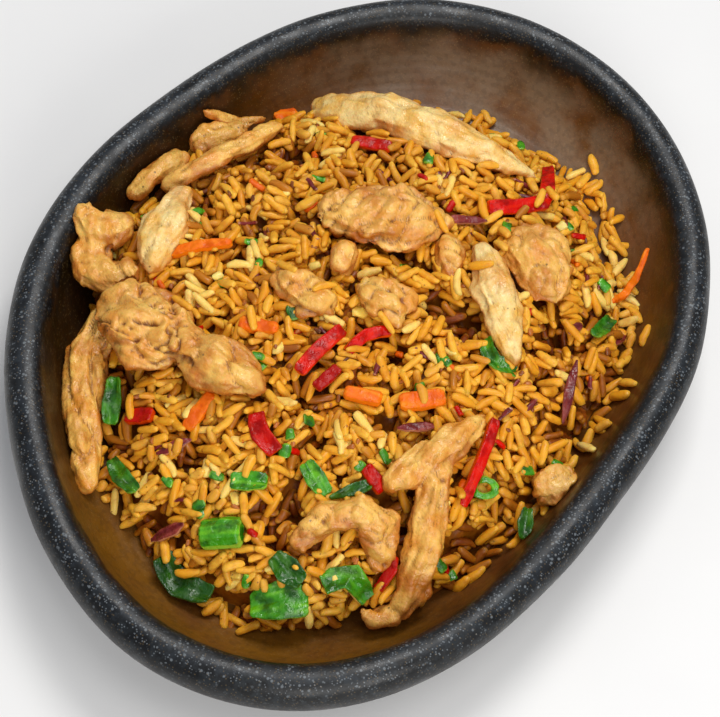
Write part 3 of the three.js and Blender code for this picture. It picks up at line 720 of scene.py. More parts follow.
# %% Finishes of the vegetables
def vegetable_finish(name, skin, streak, flesh, deep, rough=0.2, gloss=0.4):
    """Skin with streaks along it, paler cut sides, darker patches and a wet film."""
    material, tree, shader = new_finish(name, Specular_IOR_Level=gloss)
    colour = mixed(tree, spread(tree, reading(tree, "streak"), -0.6, 1.8, 0, 0.75), skin, streak)
    shade = use(tree, patches, Size=4, Level=0.54, Softness=0.12)
    colour = over(tree, colour, shade, 0.72, deep)
    colour = over(tree, colour, spread(tree, reading(tree, "cut"), 0.35, 0.8), 0.8, flesh)
    colour = mixed(tree, reading(tree, "darker"), colour, deep)
    sheen = use(tree, wet_film, Size=2, Dry=rough + 0.2, Wet=rough - 0.06)
    finish_with(tree, shader, colour, sheen, use(tree, relief, Size=1.3), 0.45)
    return material


FINISHES = {
    "pepper": vegetable_finish(
        "red_pepper", skin=paint(212, 12, 0), streak=paint(232, 44, 0),
        flesh=paint(240, 84, 4), deep=paint(126, 0, 0), gloss=0.24),
    "carrot": vegetable_finish(
        "carrot", skin=paint(242, 108, 0), streak=paint(250, 144, 10),
        flesh=paint(246, 128, 10), deep=paint(208, 76, 0), rough=0.34, gloss=0.25),
    "spring_onion": vegetable_finish(
        "spring_onion", skin=paint(62, 150, 8), streak=paint(116, 196, 24),
        flesh=paint(156, 206, 56), deep=paint(6, 50, 10), gloss=0.6),
    "red_onion": vegetable_finish(
        "red_onion", skin=paint(120, 34, 36), streak=paint(168, 74, 60),
        flesh=paint(206, 138, 100), deep=paint(78, 12, 20)),
}
SLOTS = {"pepper": "red_pepper", "egg": "rice", "crumb": "rice"}
print("finishes of the vegetables:", list(FINISHES))

# %% What sets single strips apart
STRIP_VOXEL = 0.38
# How much darker than the others a strip is
DARKER = {
    "spring_onion_wet": 0.8, "spring_onion_dark_low": 0.72, "spring_onion_blade_middle": 0.62,
    "spring_onion_blade_right": 0.6, "spring_onion_blade_left": 0.45, "spring_onion_curl_left": 0.3,
    "spring_onion_folded": 0.25, "spring_onion_right": 0.4, "spring_onion_hook": 0.35,
    "spring_onion_flat": 0.05, "pepper_dark": 0.6, "pepper_left": 0.4, "pepper_glossy": 0.25,
    "pepper_low": 0.35, "pepper_far_low": 0.35, "red_onion_edge": 0.4, "red_onion_shred_right": 0.35,
}
# Where a strip starts to narrow, as a share of its half length, and how narrow its ends are
ENDS = {
    "pepper": (0.85, 0.8), "carrot": (0.8, 0.75), "spring_onion": (0.85, 0.8), "red_onion": (0.45, 0.35),
}
# How many times more than the others a leaf is crumpled
CRUMPLED = {
    "spring_onion_folded": 3.0, "spring_onion_hook": 2.6, "spring_onion_dark_low": 2.0,
    "spring_onion_flat": 1.5, "spring_onion_wet": 1.6, "spring_onion_curl_left": 2.2,
    "spring_onion_blade_left": 1.8,
}
print("darker strips:", len(DARKER), "and crumpled leaves:", len(CRUMPLED))


# %% Forming one strip
# Size and height of a strip's waves, in millimetres
WAVES = ((5.5, 0.6), (2.6, 0.3))


def tapered(points, starts, least):
    """Draws a strip in towards its ends: from a share of its half length, to a share of its width."""
    axis = np.linalg.svd(points - points.mean(0), full_matrices=False)[2][0]
    run = (points - points.mean(0)) @ axis
    share = 2 * (run - run.min()) / (run.max() - run.min()) - 1
    bins = np.linspace(-1, 1, 9)
    near = np.exp(-((share[None] - bins[:, None]) / 0.16) ** 2)
    middles = near @ points / near.sum(1, keepdims=True)
    middle = np.stack([np.interp(share, bins, middles[:, k]) for k in range(3)], 1)
    keep = 1 - (1 - least) * ripple(np.abs(share), starts, 1.0)
    away = points - middle
    away = away - (away @ axis)[:, None] * axis
    return points - away * (1 - keep)[:, None]


def form_strip(node, kind, seed):
    """Rounds the edges of a cut strip and makes it wavy, with streaks along it."""
    points, faces = fine_copy(node, STRIP_VOXEL)
    edges = edges_of(faces)
    points = rounded(points, edges, 4)
    points = tapered(points, *ENDS[kind])
    along, thin = grain_of(points, 4)
    thin = thin * np.where(thin[:, 2:] < 0, -1, 1)
    paths = fibre_paths(points, along, FIBRE_STEP * STRIP_VOXEL)
    out = outward_of(points, faces)
    streak = combed(swell(points, 0.9, seed), along, paths, 12)
    cut = 1 - np.abs((out * thin).sum(1))
    wave = sum(high * swell(points, size, seed + 5 + k) for k, (size, high) in enumerate(WAVES))
    points = points + thin * (CRUMPLED.get(node, 1.0) * wave)[:, None]
    points = points + out * (0.14 * swell(points, 2.0, seed + 7) + 0.04 * streak)[:, None]
    readings = {"streak": streak, "cut": cut, "darker": np.full(len(points), DARKER.get(node, 0.0))}
    piece = mesh_object(node + "_cut", points, faces, FINISHES[kind], readings, SLOTS.get(kind, kind))
    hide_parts(node)
    topping_spots[node] = (points, faces)


strip_nodes = sorted(node for node in nodes if node not in ("dish", "rice", *chicken_nodes))
for number, node in enumerate(strip_nodes):
    kind = next(kind for kind in FINISHES if node.startswith(kind))
    form_strip(node, kind, 60 + number)
print("strips of vegetable:", len(strip_nodes))

# %% [markdown]
# ## A height map to lay grains on
# A physics run could drop thousands of grains, but it is slow and never the same twice. Instead
# each grain is laid on a height map like a pencil on rough ground: it touches the highest spots on
# both sides of its middle, takes the slope between them, and then becomes ground for the next.

# %% The ground: dish, core and pieces
CELL = 0.5
REACH = 120
CELLS = int(2 * REACH / CELL)
HEAP_RADIUS = 93
HEAP_WAVES = ((1.6, 177), (5.9, -9), (3.3, 114), (1.9, -5))
HEAP_HEIGHT = 35
CORE_DEPTH = 6.6

# Deep gaps between grains: place, half width and depth
HOLLOWS = (
    (-55, -37, 4, 7), (-60.5, -44, 4.5, 8), (-66, -49, 3.5, 6), (-74, -53, 3.5, 5), (-52, -59, 4, 6),
    (-48, -65, 3.5, 6), (3, -32, 4, 6), (-35, -25, 3.5, 5), (-12, -19, 4, 6), (-30, -13, 3, 5),
    (-39, -54, 3, 5), (-41, 0, 3.5, 5), (16, -29, 4, 6), (3, -61, 3.5, 5), (24, -58, 3.5, 6), (38, -65, 3, 4),
    (1, 2, 3.5, 5), (17, 24, 3, 4), (9, -22, 4, 6), (-20, 42, 3, 5), (12, 46, 3, 5), (44, 34, 3, 4),
    (55, -2, 3, 5), (-62, 14, 3, 5), (-78, 20, 3, 5), (-24, 34, 3, 5),
)
# How far out the rice reaches in each direction (degrees), as a share of the heap's plain outline
HEAP_EDGE = (
    (-180, 0.97), (-166, 0.98), (-158, 0.96), (-154, 0.9), (-144, 0.93), (-137, 0.96), (-129, 0.97),
    (-112, 0.96), (-93, 0.94), (-80, 0.965), (-72, 1.0), (-53, 1.01), (-42, 1.0), (-33, 1.04), (-22, 1.06),
    (-12, 1.01), (-2, 1.02), (2, 1.05), (12, 1.0), (36, 1.0), (44, 0.95), (60, 0.93), (71, 0.91),
    (88, 0.88), (100, 0.91), (115, 0.95), (130, 0.97), (159, 1.0), (172, 0.98), (180, 0.97),
)
LEAST_RICE = 2.2


def heap_share(x, y):
    """How far out a place lies: 0 in the middle of the heap and 1 at its edge."""
    return np.hypot(x, y) / oval(HEAP_RADIUS, HEAP_WAVES, np.arctan2(y, x))


def bare_dish(x, y):
    """Height of the empty dish."""
    inset = oval(DISH_RADIUS, DISH_WAVES, np.arctan2(y, x)) - np.hypot(x, y)
    insets, heights = np.array(INNER_WALL).T
    return np.interp(inset, insets, heights)


def dome(x, y):
    """Height of the heap without its lumps."""
    share = np.minimum(heap_share(x, y), 1)
    return FLOOR_HEIGHT + HEAP_HEIGHT * (1 - share ** 2.5) ** 0.6


centres = (np.arange(CELLS) + 0.5) * CELL - REACH
grid_x, grid_y = np.meshgrid(centres, centres, indexing="ij")
grid_points = np.stack([grid_x, grid_y, 0 * grid_x], -1).reshape(-1, 3)
share_out = heap_share(grid_x, grid_y)
edge_share = np.interp(np.degrees(np.arctan2(grid_y, grid_x)), *np.array(HEAP_EDGE).T)
dish_ground = bare_dish(grid_x, grid_y)
plain_heap = np.maximum(dome(grid_x, grid_y), dish_ground + LEAST_RICE)
print("the ground is", grid_x.shape, "cells of", CELL, "mm")


# %% Toppings on the ground
def cell_of(values):
    """The cell of the height map that holds a place."""
    return np.clip(((values + REACH) / CELL).astype(int), 0, CELLS - 1)


def top_of(points, faces, trimmed):
    """The height of a piece over each cell, less overhangs and a narrow edge that grains lie against."""
    corners = points[faces]
    halfway = (corners + np.roll(corners, 1, axis=1)).reshape(-1, 3) / 2
    spots = np.concatenate([points, corners.mean(1), halfway])
    cells = (cell_of(spots[:, 0]), cell_of(spots[:, 1]))
    top = np.full(grid_x.shape, -np.inf)
    np.maximum.at(top, cells, spots[:, 2])
    bottom = np.full(grid_x.shape, np.inf)
    np.minimum.at(bottom, cells, spots[:, 2])
    covered = np.isfinite(top) & ((bottom < plain_heap + 0.5) | (trimmed == 0))
    for _ in range(trimmed):
        for step, axis in ((1, 0), (-1, 0), (1, 1), (-1, 1)):
            covered = covered & np.roll(covered, step, axis)
    return np.where(covered, top, -np.inf)


THIN_TRIM, THICK_TRIM = 1, 3
whole_tops = np.full(grid_x.shape, -np.inf)
piece_ground = np.full(grid_x.shape, -np.inf)
strip_near = np.zeros(grid_x.shape)
for node, (points, faces) in topping_spots.items():
    trim = THIN_TRIM if node.startswith(("pepper", "spring")) else THICK_TRIM
    piece_ground = np.maximum(piece_ground, top_of(points, faces, trim))
    whole = top_of(points, faces, 0)
    whole_tops = np.maximum(whole_tops, whole)
    if not node.startswith("chicken"):
        strip_near = np.maximum(strip_near, np.isfinite(whole))
print("cells under toppings:", int(np.isfinite(whole_tops).sum()))


# %% [markdown]
# ## Clumps and hollows of the heap
# Fried rice sticks together in clumps, with deep gaps where it was turned over. A Displace modifier
# could push a finished heap about, but the grains on it would stretch. So the surface is worked out
# first: swells of two sizes lower and raise the plain heap, and the gaps that show in the picture
# are pressed in at their places. Near a strip of vegetable the rice is kept high, so that the strip
# doesn't float.

# %% The wanted surface of the heap
BIG_CLUMP, BIG_RISE = 11, 7.5
SMALL_CLUMP, SMALL_RISE = 5.5, 3.0
DEEPEST, HIGHEST = -8, 1.3
NEAR_CELLS, KEPT_NEAR = 7, 0.85


def blurred(values, cells):
    """The mean of the cells round each cell."""
    for axis in (0, 1):
        values = sum(np.roll(values, step, axis) for step in range(-cells, cells + 1)) / (2 * cells + 1)
    return values


def clumps(x, y):
    """How far the heap's real surface lies above or below the plain heap."""
    flat = np.stack([x, y, 0 * x], -1).reshape(-1, 3)
    rise = BIG_RISE * swell(flat, BIG_CLUMP, 3) + SMALL_RISE * swell(flat, SMALL_CLUMP, 4)
    for at_x, at_y, half, depth in HOLLOWS:
        rise -= depth * np.exp(-((flat[:, 0] - at_x) ** 2 + (flat[:, 1] - at_y) ** 2) / half ** 2)
    return np.clip(rise, DEEPEST, HIGHEST).reshape(x.shape)


strip_near = blurred(strip_near, NEAR_CELLS)
rise = clumps(grid_x, grid_y)
rise = np.where(rise < 0, rise * (1 - ripple(strip_near, 0.1, 0.5) * KEPT_NEAR), rise)
wanted = np.maximum(plain_heap + rise, dish_ground + LEAST_RICE)
ground = np.maximum(dome(grid_x, grid_y) + rise - CORE_DEPTH, dish_ground)
ground = np.maximum(ground, piece_ground)
print("the heap's clumps and hollows run from", round(rise.min(), 1), "to", round(rise.max(), 1), "mm")

# %% [markdown]
# ## How a grain comes to rest
# A real grain tips until it touches in two places, one on each side of its middle. A physics engine
# finds them step by step. Here each pair of stations along the grain is tried, and the pair that
# holds its middle highest is the one it rests on. It sinks a little into what it lies on, because
# cooked rice is soft.

# %% Laying one grain
STATIONS = np.linspace(-0.92, 0.92, 9)
LEFT, RIGHT = (part.ravel() for part in np.meshgrid(np.arange(4), np.arange(5, 9)))
ACROSS = np.array([-0.3, 0.0, 0.3])
MARK_COLUMNS, MARK_ROWS = np.linspace(-0.97, 0.97, 17), np.linspace(-0.9, 0.9, 6)
MARK_ALONG, MARK_ACROSS = (part.ravel() for part in np.meshgrid(MARK_COLUMNS, MARK_ROWS))
MARK_RISE = np.sqrt((1 - MARK_ALONG ** 2) * (1 - MARK_ACROSS ** 2))
SINK = 1.0


def settle(x, y, heading, long, wide, high):
    """The height of the middle and the slope at which a grain comes to rest."""
    dx, dy = math.cos(heading), math.sin(heading)
    reach = STATIONS * long / 2
    spot_x = x + reach[:, None] * dx - ACROSS * wide * dy
    spot_y = y + reach[:, None] * dy + ACROSS * wide * dx
    touch = ground[cell_of(spot_x), cell_of(spot_y)].max(1) + high / 2 * np.sqrt(1 - STATIONS ** 2)
    between = reach[RIGHT] - reach[LEFT]
    middle = (touch[LEFT] * reach[RIGHT] - touch[RIGHT] * reach[LEFT]) / between
    best = middle.argmax()
    slope = (touch[RIGHT[best]] - touch[LEFT[best]]) / between[best]
    balanced = touch[len(STATIONS) // 2]
    return max(middle[best], balanced) - SINK, slope * (0.7 if balanced > middle[best] else 1)


def mark(x, y, z, heading, slope, long, wide, high):
    """Makes a grain that lies part of the ground."""
    dx, dy = math.cos(heading), math.sin(heading)
    along, across = MARK_ALONG * long / 2, MARK_ACROSS * wide / 2
    cells = (cell_of(x + along * dx - across * dy), cell_of(y + along * dy + across * dx))
    np.maximum.at(ground, cells, z + slope * along + high / 2 * MARK_RISE)


# %% [markdown]
# ## Laying the rice
# Cooked long grain is a little over 8 mm long, and some of it breaks in the pan. Copies scattered
# over a surface would stand through each other. Here grains are laid wherever the ground is still
# below the wanted surface, so gaps fill up and clumps stay. Neighbours tend to lie alike, as they
# slide into each other's direction when the rice is stirred. A grain is kept as a row of numbers:
# its place, heading, slope, size, bend and tone.

# %% Sizes of grains and where they may lie
HIGHEST_ON_WALL = 27
WHOLE_SHARE = 0.85
WHOLE_LENGTH, LENGTH_SPREAD = 8.3, 0.7
SHORTEST, SHORTEST_WHOLE = 4.2, 7.0
GRAIN_WIDTH, WIDTH_SPREAD = 2.8, 0.24
FLATTEST, ROUNDEST = 0.8, 0.93
draw = np.random.default_rng(12)
edge_wobble = 0.03 * swell(grid_points, 7, 7).reshape(grid_x.shape)
may_lie = (share_out < edge_share + edge_wobble) & (dish_ground < HIGHEST_ON_WALL)
drift = (math.pi * swell(grid_points, 16, 8)).reshape(grid_x.shape)
sauce = swell(grid_points, 10, 9).reshape(grid_x.shape)
grains = []
print("cells where rice may lie:", int(may_lie.sum()))


def grain_size():
    """Length, width and height of a whole or a broken grain."""
    whole = draw.random() < WHOLE_SHARE
    if whole:
        long = draw.normal(WHOLE_LENGTH, LENGTH_SPREAD)
    else:
        long = draw.uniform(SHORTEST, SHORTEST_WHOLE)
    wide = draw.normal(GRAIN_WIDTH, WIDTH_SPREAD)
    return long, wide, wide * draw.uniform(FLATTEST, ROUNDEST)


# %% Trying one grain and pouring many
DEEP_LAYERS = (-4.4, -3.1, -1.9)
DEEP_ROUNDS = 90
TOP_LAYER = -0.7
TOP_ROUNDS = 160
GRAINS_A_ROUND = 200
FEWEST_LOW = 400
LEAST_GAP, GRAIN_ROOM = 0.8, 2.1


def try_grain(x, y, limit, steepest=1.1, poke=0.28):
    """Lays one grain if it stays low enough, and says whether it did."""
    col, row = cell_of(x), cell_of(y)
    long, wide, high = grain_size()
    heading = drift[col, row] + draw.normal(0, 0.9)
    z, slope = settle(x, y, heading, long, wide, high)
    slope += draw.normal(0, poke)
    if z + high / 2 > limit or abs(slope) > steepest:
        return False
    mark(x, y, z, heading, slope, long, wide, high)
    # Grains deep below the plain heap get a darker tone: partly sauce pooled low, partly painted shade in the
    # hollows
    shade_depth = max(0.0, plain_heap[col, row] - z - 0.5)
    tone = np.clip(0.55 + 0.25 * sauce[col, row] - 0.07 * shade_depth + draw.normal(0, 0.13), 0, 1)
    bend = abs(draw.normal(0, 0.06)) * long
    grains.append((x, y, z, heading, slope, long, wide, high, bend, draw.uniform(0, 2 * math.pi), tone))
    return True


def pour(level, rounds):
    """Lays grains wherever the ground is more than a grain below the wanted surface."""
    for _ in range(rounds):
        low = np.flatnonzero(may_lie & (wanted + level - ground > LEAST_GAP))
        if len(low) < FEWEST_LOW:
            break
        for pick in draw.choice(low, GRAINS_A_ROUND):
            x, y = grid_x.flat[pick], grid_y.flat[pick]
            try_grain(x, y, wanted.flat[pick] + level + GRAIN_ROOM)
    print("grains:", len(grains), "with", len(low), "low cells left")


for level in DEEP_LAYERS:
    pour(level, DEEP_ROUNDS)

# %% [markdown]
# ## Small bits in the rice
# Chopped spring onion, pepper, carrot, onion, egg and browned crumbs too small to be pieces of
# their own lie between the grains. Scattered over a finished heap, they would float on it or sink
# into it. So they are laid like grains, some before the last grains and some after. Those that the
# CAD fuses to the heap lie at its places, and the rest are drawn at random.

# %% Where the small bits lie
bits = {kind: [] for kind in ("onion_green", "pepper", "carrot", "onion_red", "egg", "crumb")}
# Least and greatest length, width and thickness of each kind
BIT_SIZES = {
    "onion_green": ((3.2, 5.4), (2.4, 3.6), (0.8, 1.2)), "pepper": ((3, 5.4), (1.4, 2.2), (1.2, 1.8)),
    "carrot": ((3, 6), (1.4, 2.2), (1.3, 1.8)), "onion_red": ((4, 8), (1.0, 1.8), (0.7, 1.0)),
    "egg": ((3.4, 6), (2.8, 4), (1.6, 2.4)), "crumb": ((1.2, 2.6), (1, 1.8), (0.8, 1.4)),
}
# Place and heading (degrees) of the bits that the CAD fuses to the heap
FUSED = {
    "onion_green": ((58, 4, 20), (91, -2, 60), (89, -17, 30), (50, -64, 70), (-61, -64, 40), (-9, -34, 60),
                    (-21, -31, 20), (-46, -32, 70), (-58, -5, 10), (-18, 14, 50), (8, 59, 30), (2, 47, 80),
                    (47, -29, 20), (-22, -5, 60), (-94, -12, 30)),
    "pepper": ((49, 2, 80),),
    "carrot": ((46, 39, 40), (-12, -20, 90)),
}
ANY_HEIGHT = 1e3
# How many more of each kind are scattered
SCATTERED = {"onion_green": 26, "pepper": 12, "carrot": 10, "onion_red": 26, "egg": 8, "crumb": 130}


def try_bit(kind, x, y, heading, limit):
    """Lays one bit if it stays low enough."""
    long, wide, high = (draw.uniform(*span) for span in BIT_SIZES[kind])
    z, slope = settle(x, y, heading, long, wide, high)
    if z + high / 2 > limit or abs(slope) > 1:
        return False
    mark(x, y, z, heading, slope, long, wide, high)
    bits[kind].append((x, y, z, heading, slope, long, wide, high, 0, 0, draw.random()))
    return True


def scatter_bits(share, slack):
    """Lays a share of each kind at places drawn over the heap."""
    open_cells = np.flatnonzero((share_out < 0.92) & ~np.isfinite(whole_tops))
    for kind, count in SCATTERED.items():
        laid = 0
        for pick in draw.choice(open_cells, 12 * count):
            if laid >= share * count:
                break
            x, y = grid_x.flat[pick], grid_y.flat[pick]
            laid += try_bit(kind, x, y, draw.uniform(0, math.pi), wanted.flat[pick] + slack)


scatter_bits(0.6, 0.4)
pour(TOP_LAYER, TOP_ROUNDS)
for kind, places in FUSED.items():
    for x, y, heading in places:
        try_bit(kind, x, y, math.radians(heading), ANY_HEIGHT)
scatter_bits(0.4, 2.0)
print("grains:", len(grains), "and bits:", {kind: len(rows) for kind, rows in bits.items()})

# %% [markdown]
# ## Loose grains
# A few grains rolled off the heap on to the bare dish, and some stuck to the meat and the leaves.
# They could be put down one by one by hand, but the same laying does it. For those on top, the
# pieces become part of the ground, and only gentle slopes hold a grain.

# %% Loose grains at the edge and on top
STRAY_TRIES = 36
STRAY_HIGHEST = 20
TOP_TRIES, TOP_GRAINS = 60, 14


def stray_grains(count, inner, outer):
    """A few grains that rolled off the heap on to the bare dish."""
    past = share_out - edge_share
    ring = np.flatnonzero((past > inner) & (past < outer) & ~np.isfinite(whole_tops))
    for pick in draw.choice(ring, count):
        if dish_ground.flat[pick] < STRAY_HIGHEST:
            try_grain(grid_x.flat[pick], grid_y.flat[pick], dish_ground.flat[pick] + 5)


stray_grains(STRAY_TRIES, -0.01, 0.05)
topped = np.flatnonzero(np.isfinite(whole_tops) & (share_out < 0.9))
ground = np.maximum(ground, whole_tops)
before = len(grains)
for pick in draw.choice(topped, TOP_TRIES):
    if len(grains) < before + TOP_GRAINS:
        try_grain(grid_x.flat[pick], grid_y.flat[pick], wanted.flat[pick] + 8, 0.5, 0.1)
print("grains with the loose ones:", len(grains))

# %% [markdown]
# ## The forms of grains and bits
# A grain is rings of points round a bent line, blunt at both ends. One template is stretched,
# bent and turned for all grains at once, which is far faster than making thousands of objects, and
# each kind becomes one mesh. The bits use the same rings, made squarer.

# %% One template, many grains
GRAIN_RINGS = 6
GRAIN_SIDES = 7
BUMP_SIZE = 1.7


def template(square, blunt):
    """A unit grain: its place along, and its two directions across, at each point."""
    turn = np.linspace(-math.pi / 2, math.pi / 2, GRAIN_RINGS + 2)
    along = np.sign(np.sin(turn)) * np.abs(np.sin(turn)) ** square
    across = np.cos(turn) ** blunt
    side = np.arange(GRAIN_SIDES) * 2 * math.pi / GRAIN_SIDES
    round_y = np.sign(np.cos(side)) * np.abs(np.cos(side)) ** square
    round_z = np.sign(np.sin(side)) * np.abs(np.sin(side)) ** square
    rings = zip(along[1:-1], across[1:-1])
    body = [(s, w * y, w * z) for s, w in rings for y, z in zip(round_y, round_z)]
    return np.array([(-1, 0, 0), *body, (1, 0, 0)]).T


def grown(rows, square, blunt, rough):
    """Points and faces of all grains or bits, with each one's tone and its ends."""
    columns = (column[:, None] for column in np.array(rows).T)
    x, y, z, heading, slope, long, wide, high, bend, bend_turn, tone = columns
    s, w, h = template(square, blunt)
    dip = np.arctan(slope)
    along = np.stack([np.cos(heading) * np.cos(dip), np.sin(heading) * np.cos(dip), np.sin(dip)], -1)
    side = np.stack([-np.sin(heading), np.cos(heading), 0 * heading], -1)
    normal = np.cross(along, side)
    middle = np.stack([x, y, z], -1)
    taper = 1 - 0.1 * s * np.cos(3 * bend_turn)
    curve = bend * (1 / 3 - s ** 2)
    sideways = w * wide / 2 * taper + curve * np.cos(bend_turn)
    upwards = h * high / 2 * taper + curve * np.sin(bend_turn) * 0.6
    points = middle + along * (s * long / 2)[..., None]
    points = points + side * sideways[..., None] + normal * upwards[..., None]
    points = points.reshape(-1, 3)
    bumps = np.stack([swell(points, BUMP_SIZE, seed) for seed in (21, 22, 23)], 1)
    points = points + rough * bumps
    faces = capped_rings(GRAIN_RINGS, GRAIN_SIDES)
    offsets = np.arange(len(rows))[:, None, None] * len(s)
    faces = (faces[None] + offsets).reshape(-1, 3)
    return points, faces, np.repeat(tone, len(s)), np.tile(np.abs(s), len(rows))


# %% [markdown]
# ## The rice's finish
# Fried rice is never one colour: soy sauce and turmeric stain each grain differently, and light goes
# a little way in. The ends are painted paler, a painted glow of light shining through them. One
# colour for all would look like plastic, and a material for each grain would be too many. So each
# grain carries its tone on its points, and four finishes of the same kind cover the golden, pale,
# browned and broken grains. Grains that lie deep in the hollows get a darker tone, partly sauce and
# partly painted shade, so the browned ones are partly shaded ones.

# %% A finish for cooked grains
def rice_finish(name, deep, body, light, oil):
    """Cooked grains, each with its own tone, stained in places by sauce and shining with oil."""
    material, tree, shader = new_finish(
        name, Coat_Weight=oil, Coat_Roughness=0.2, Specular_IOR_Level=0.25,
        Subsurface_Weight=0.3, Subsurface_Scale=1.4 * MM, Subsurface_Radius=(1.0, 0.55, 0.15))
    colour = shaded(tree, reading(tree, "tone"), [(0.0, deep), (0.45, body), (1.0, light)])
    stain = use(tree, patches, Size=2.2, Level=0.58, Softness=0.12, Seed=1)
    colour = over(tree, colour, stain, 0.4, paint(190, 108, 24))
    # Painted glow: the ends of each grain are painted paler, for light shining through them
    colour = mixed(tree, spread(tree, reading(tree, "tip"), 0.55, 1.0, 0, 0.35), colour, light)
    pepper_dust = use(tree, specks, Size=0.9, Share=0.02, Seed=5)
    colour = over(tree, colour, pepper_dust, 0.6, paint(96, 48, 16))
    sheen = use(tree, wet_film, Size=2.4, Dry=0.55, Wet=0.32, Seed=3)
    finish_with(tree, shader, colour, sheen, use(tree, relief, Size=0.7), 0.1)
    return material


GOLD = paint(236, 164, 34)
rice_kinds = {
    "golden": rice_finish("rice_golden", paint(190, 108, 16), GOLD, paint(249, 200, 78), 0.08),
    "pale": rice_finish("rice_pale", paint(226, 158, 36), paint(244, 192, 72), paint(253, 222, 126), 0.08),
    "browned": rice_finish("rice_browned", paint(128, 58, 6), paint(212, 136, 26), GOLD, 0.1),
    "broken": rice_finish("rice_broken", paint(134, 62, 8), paint(222, 150, 36), paint(246, 196, 80), 0.08),
}
print("finishes of the rice:", [finish.name for finish in rice_kinds.values()])


# %% The grains as meshes
# Grains darkened by painted shade in the hollows fall among the browned ones
BROWNED_AND_SHADED_BELOW, PALE_ABOVE = 0.3, 0.72
GRAIN_FORM = {"square": 0.85, "blunt": 0.62, "rough": 0.34}
BIT_FORM = {"square": 0.6, "blunt": 0.5, "rough": 0.5}


def kind_of(row):
    """Sorts a grain by its length and tone."""
    long, tone = row[5], row[-1]
    if long < SHORTEST_WHOLE:
        return "broken"
    if tone < BROWNED_AND_SHADED_BELOW:
        return "browned"
    return "pale" if tone > PALE_ABOVE else "golden"


for kind, finish in rice_kinds.items():
    rows = [row for row in grains if kind_of(row) == kind]
    points, faces, tone, tip = grown(rows, **GRAIN_FORM)
    piece = mesh_object("rice_" + kind, points, faces, finish, {"tone": tone, "tip": tip}, "rice")
    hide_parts("rice")
    print("rice", kind, len(rows), "grains,", len(faces), "triangles")

# %% The small bits as meshes
FINISHES["egg"] = rice_finish(
    "egg", deep=paint(226, 176, 52), body=paint(242, 204, 84), light=paint(250, 226, 130), oil=0.2)
FINISHES["crumb"] = rice_finish(
    "browned_crumbs", deep=paint(96, 48, 18), body=paint(142, 76, 28), light=paint(190, 112, 42), oil=0.3)
BITS_OF = {"onion_green": "spring_onion", "onion_red": "red_onion"}

for kind, rows in bits.items():
    points, faces, tone, tip = grown(rows, **BIT_FORM)
    streak = swell(points, 0.8, 4)
    readings = {"tone": tone, "tip": tip, "streak": streak, "cut": tip ** 3, "darker": 0.5 * tone ** 2}
    food = BITS_OF.get(kind, kind)
    mesh_object("bits_" + kind, points, faces, FINISHES[food], readings, SLOTS.get(food, food))
    print("bits", kind, len(faces), "triangles")

# %% [markdown]
# ## The core of the heap
# Between the grains the eye looks a few millimetres down, on to more rice in shadow. Grains all the
# way down would take several times as many. A lumpy core closes the gaps instead, painted a dark
# brown that stands for that shadow. It ends where it meets the wall of the dish, so that none of it
# shows outside the grains.

# %% The core's mesh
CORE_RINGS = 84
CORE_STEPS = 250
CORE_LUMP_SIZE, CORE_LUMP_HEIGHT = 2.1, 0.9
# Painted shade: the core is coloured dark brown to stand for the shadow between the grains
painted_shade_core_finish = rice_finish(
    "rice_core_painted_shade", deep=paint(110, 50, 6), body=paint(146, 80, 12), light=paint(178, 106, 18), oil=0.0)


def core_points():
    """A ring of shares outwards under the heap, and back inwards over its top."""
    angle = np.arange(CORE_STEPS) * 2 * math.pi / CORE_STEPS
    trial = np.linspace(0.4, 1, 200)[:, None]
    radius = oval(HEAP_RADIUS, HEAP_WAVES, angle)
    reach = np.interp(np.degrees(np.angle(np.exp(1j * angle))), *np.array(HEAP_EDGE).T)
    radius = radius * np.minimum(reach, 1)
    x, y = trial * radius * np.cos(angle), trial * radius * np.sin(angle)
    clear = dome(x, y) - CORE_DEPTH > bare_dish(x, y) + 0.2
    limit = (trial * clear).max(0)
    out = np.sin(np.linspace(0.01, 1, CORE_RINGS) * math.pi / 2)[:, None] * limit * radius
    x, y = out * np.cos(angle), out * np.sin(angle)
    flat = np.stack([x, y, 0 * x], -1).reshape(-1, 3)
    lumps = clumps(x, y) + CORE_LUMP_HEIGHT * swell(flat, CORE_LUMP_SIZE, 5).reshape(x.shape)
    top = np.maximum(dome(x, y) - CORE_DEPTH + lumps, bare_dish(x, y) + 0.1)
    lower = np.stack([x, y, bare_dish(x, y) - 1], -1)
    upper = np.stack([x, y, top], -1)[::-1]
    ends = np.array([[0, 0, FLOOR_HEIGHT - 1], [0, 0, top[0, 0]]])
    return np.vstack([ends[:1], lower.reshape(-1, 3), upper.reshape(-1, 3), ends[1:]])


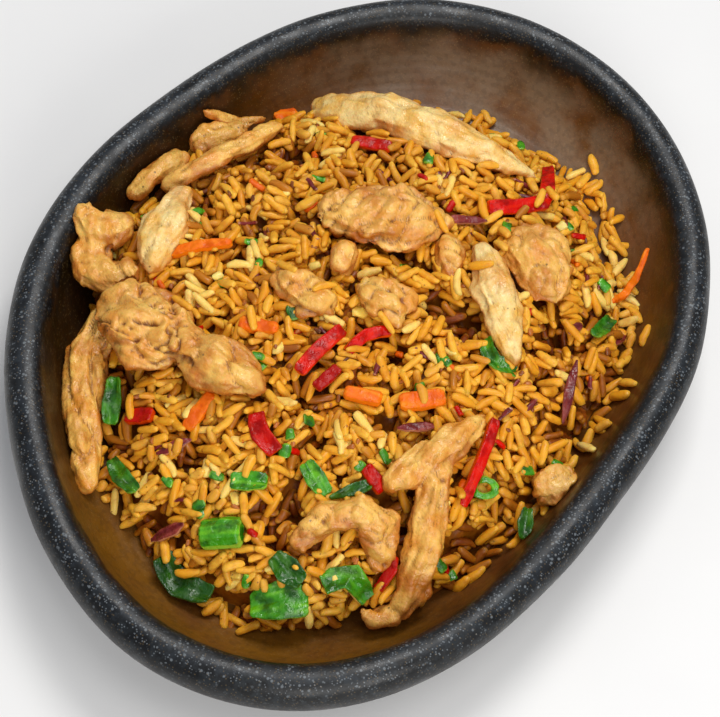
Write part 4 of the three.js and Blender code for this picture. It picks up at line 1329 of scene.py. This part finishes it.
points = core_points()
faces = capped_rings(2 * CORE_RINGS, CORE_STEPS)
readings = {"tone": 0.5 + 0.5 * swell(points, 3, 6), "tip": np.zeros(len(points))}
core = mesh_object("rice_core_painted_shade", points, faces, painted_shade_core_finish, readings, "rice")
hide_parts("rice")
print("the core has", len(faces), "triangles")

# %% [markdown]
# ## Floor and light
# The dish stands on a plain pale floor. A photographed sky could light it, but area lights can be
# moved one by one. The strongest hangs over the far end, as a high window would, a weak one hangs
# nearly overhead, and a low one on the near side gives the far wall of the dish its sheen and the
# wet leaves their glints. A plain pale sky fills the shadows.

# %% Floor
FLOOR_HALF = 1500
floor_finish, tree, shader = new_finish("pale_floor")
colour = mixed(tree, use(tree, patches, Size=60, Softness=0.4), paint(240, 240, 239), paint(236, 236, 236))
sheen = use(tree, wet_film, Size=40, Dry=0.7, Wet=0.6)
finish_with(tree, shader, colour, sheen, use(tree, relief, Size=3), 0.02)
corners = np.array([(-1, -1), (1, -1), (1, 1), (-1, 1)]) * FLOOR_HALF
floor = mesh_object("floor", np.c_[corners, np.zeros(4)], np.array([[0, 1, 2, 3]]), floor_finish)
print("the floor is", 2 * FLOOR_HALF, "mm wide")


# %% Lights
LAMP_COLOUR = (1.0, 0.98, 0.95)
SKY_COLOUR = (0.9, 0.93, 1.0, 1)
SKY_STRENGTH = 0.34


def soft_light(name, place_mm, size_mm, power):
    """A square light that faces the dish."""
    lamp = bpy.data.objects.new(name, bpy.data.lights.new(name, "AREA"))
    lamp.data.size = size_mm * MM
    lamp.data.energy = power
    lamp.data.color = LAMP_COLOUR
    where = Vector(place_mm) * MM
    lamp.matrix_world = Matrix.Translation(where) @ where.to_track_quat("Z", "Y").to_matrix().to_4x4()
    bpy.context.scene.collection.objects.link(lamp)


soft_light("window", (360, 40, 850), 330, 4.2)
soft_light("ceiling", (-120, -200, 780), 300, 1.0)
soft_light("low_window", (-560, -500, 430), 420, 3.6)
world = bpy.data.worlds.new("pale room")
world.use_nodes = True
sky = world.node_tree.nodes["Background"].inputs
sky["Color"].default_value = SKY_COLOUR
sky["Strength"].default_value = SKY_STRENGTH
bpy.context.scene.world = world
bpy.context.scene.view_settings.view_transform = "Standard"
print("lights:", len(bpy.data.lights))
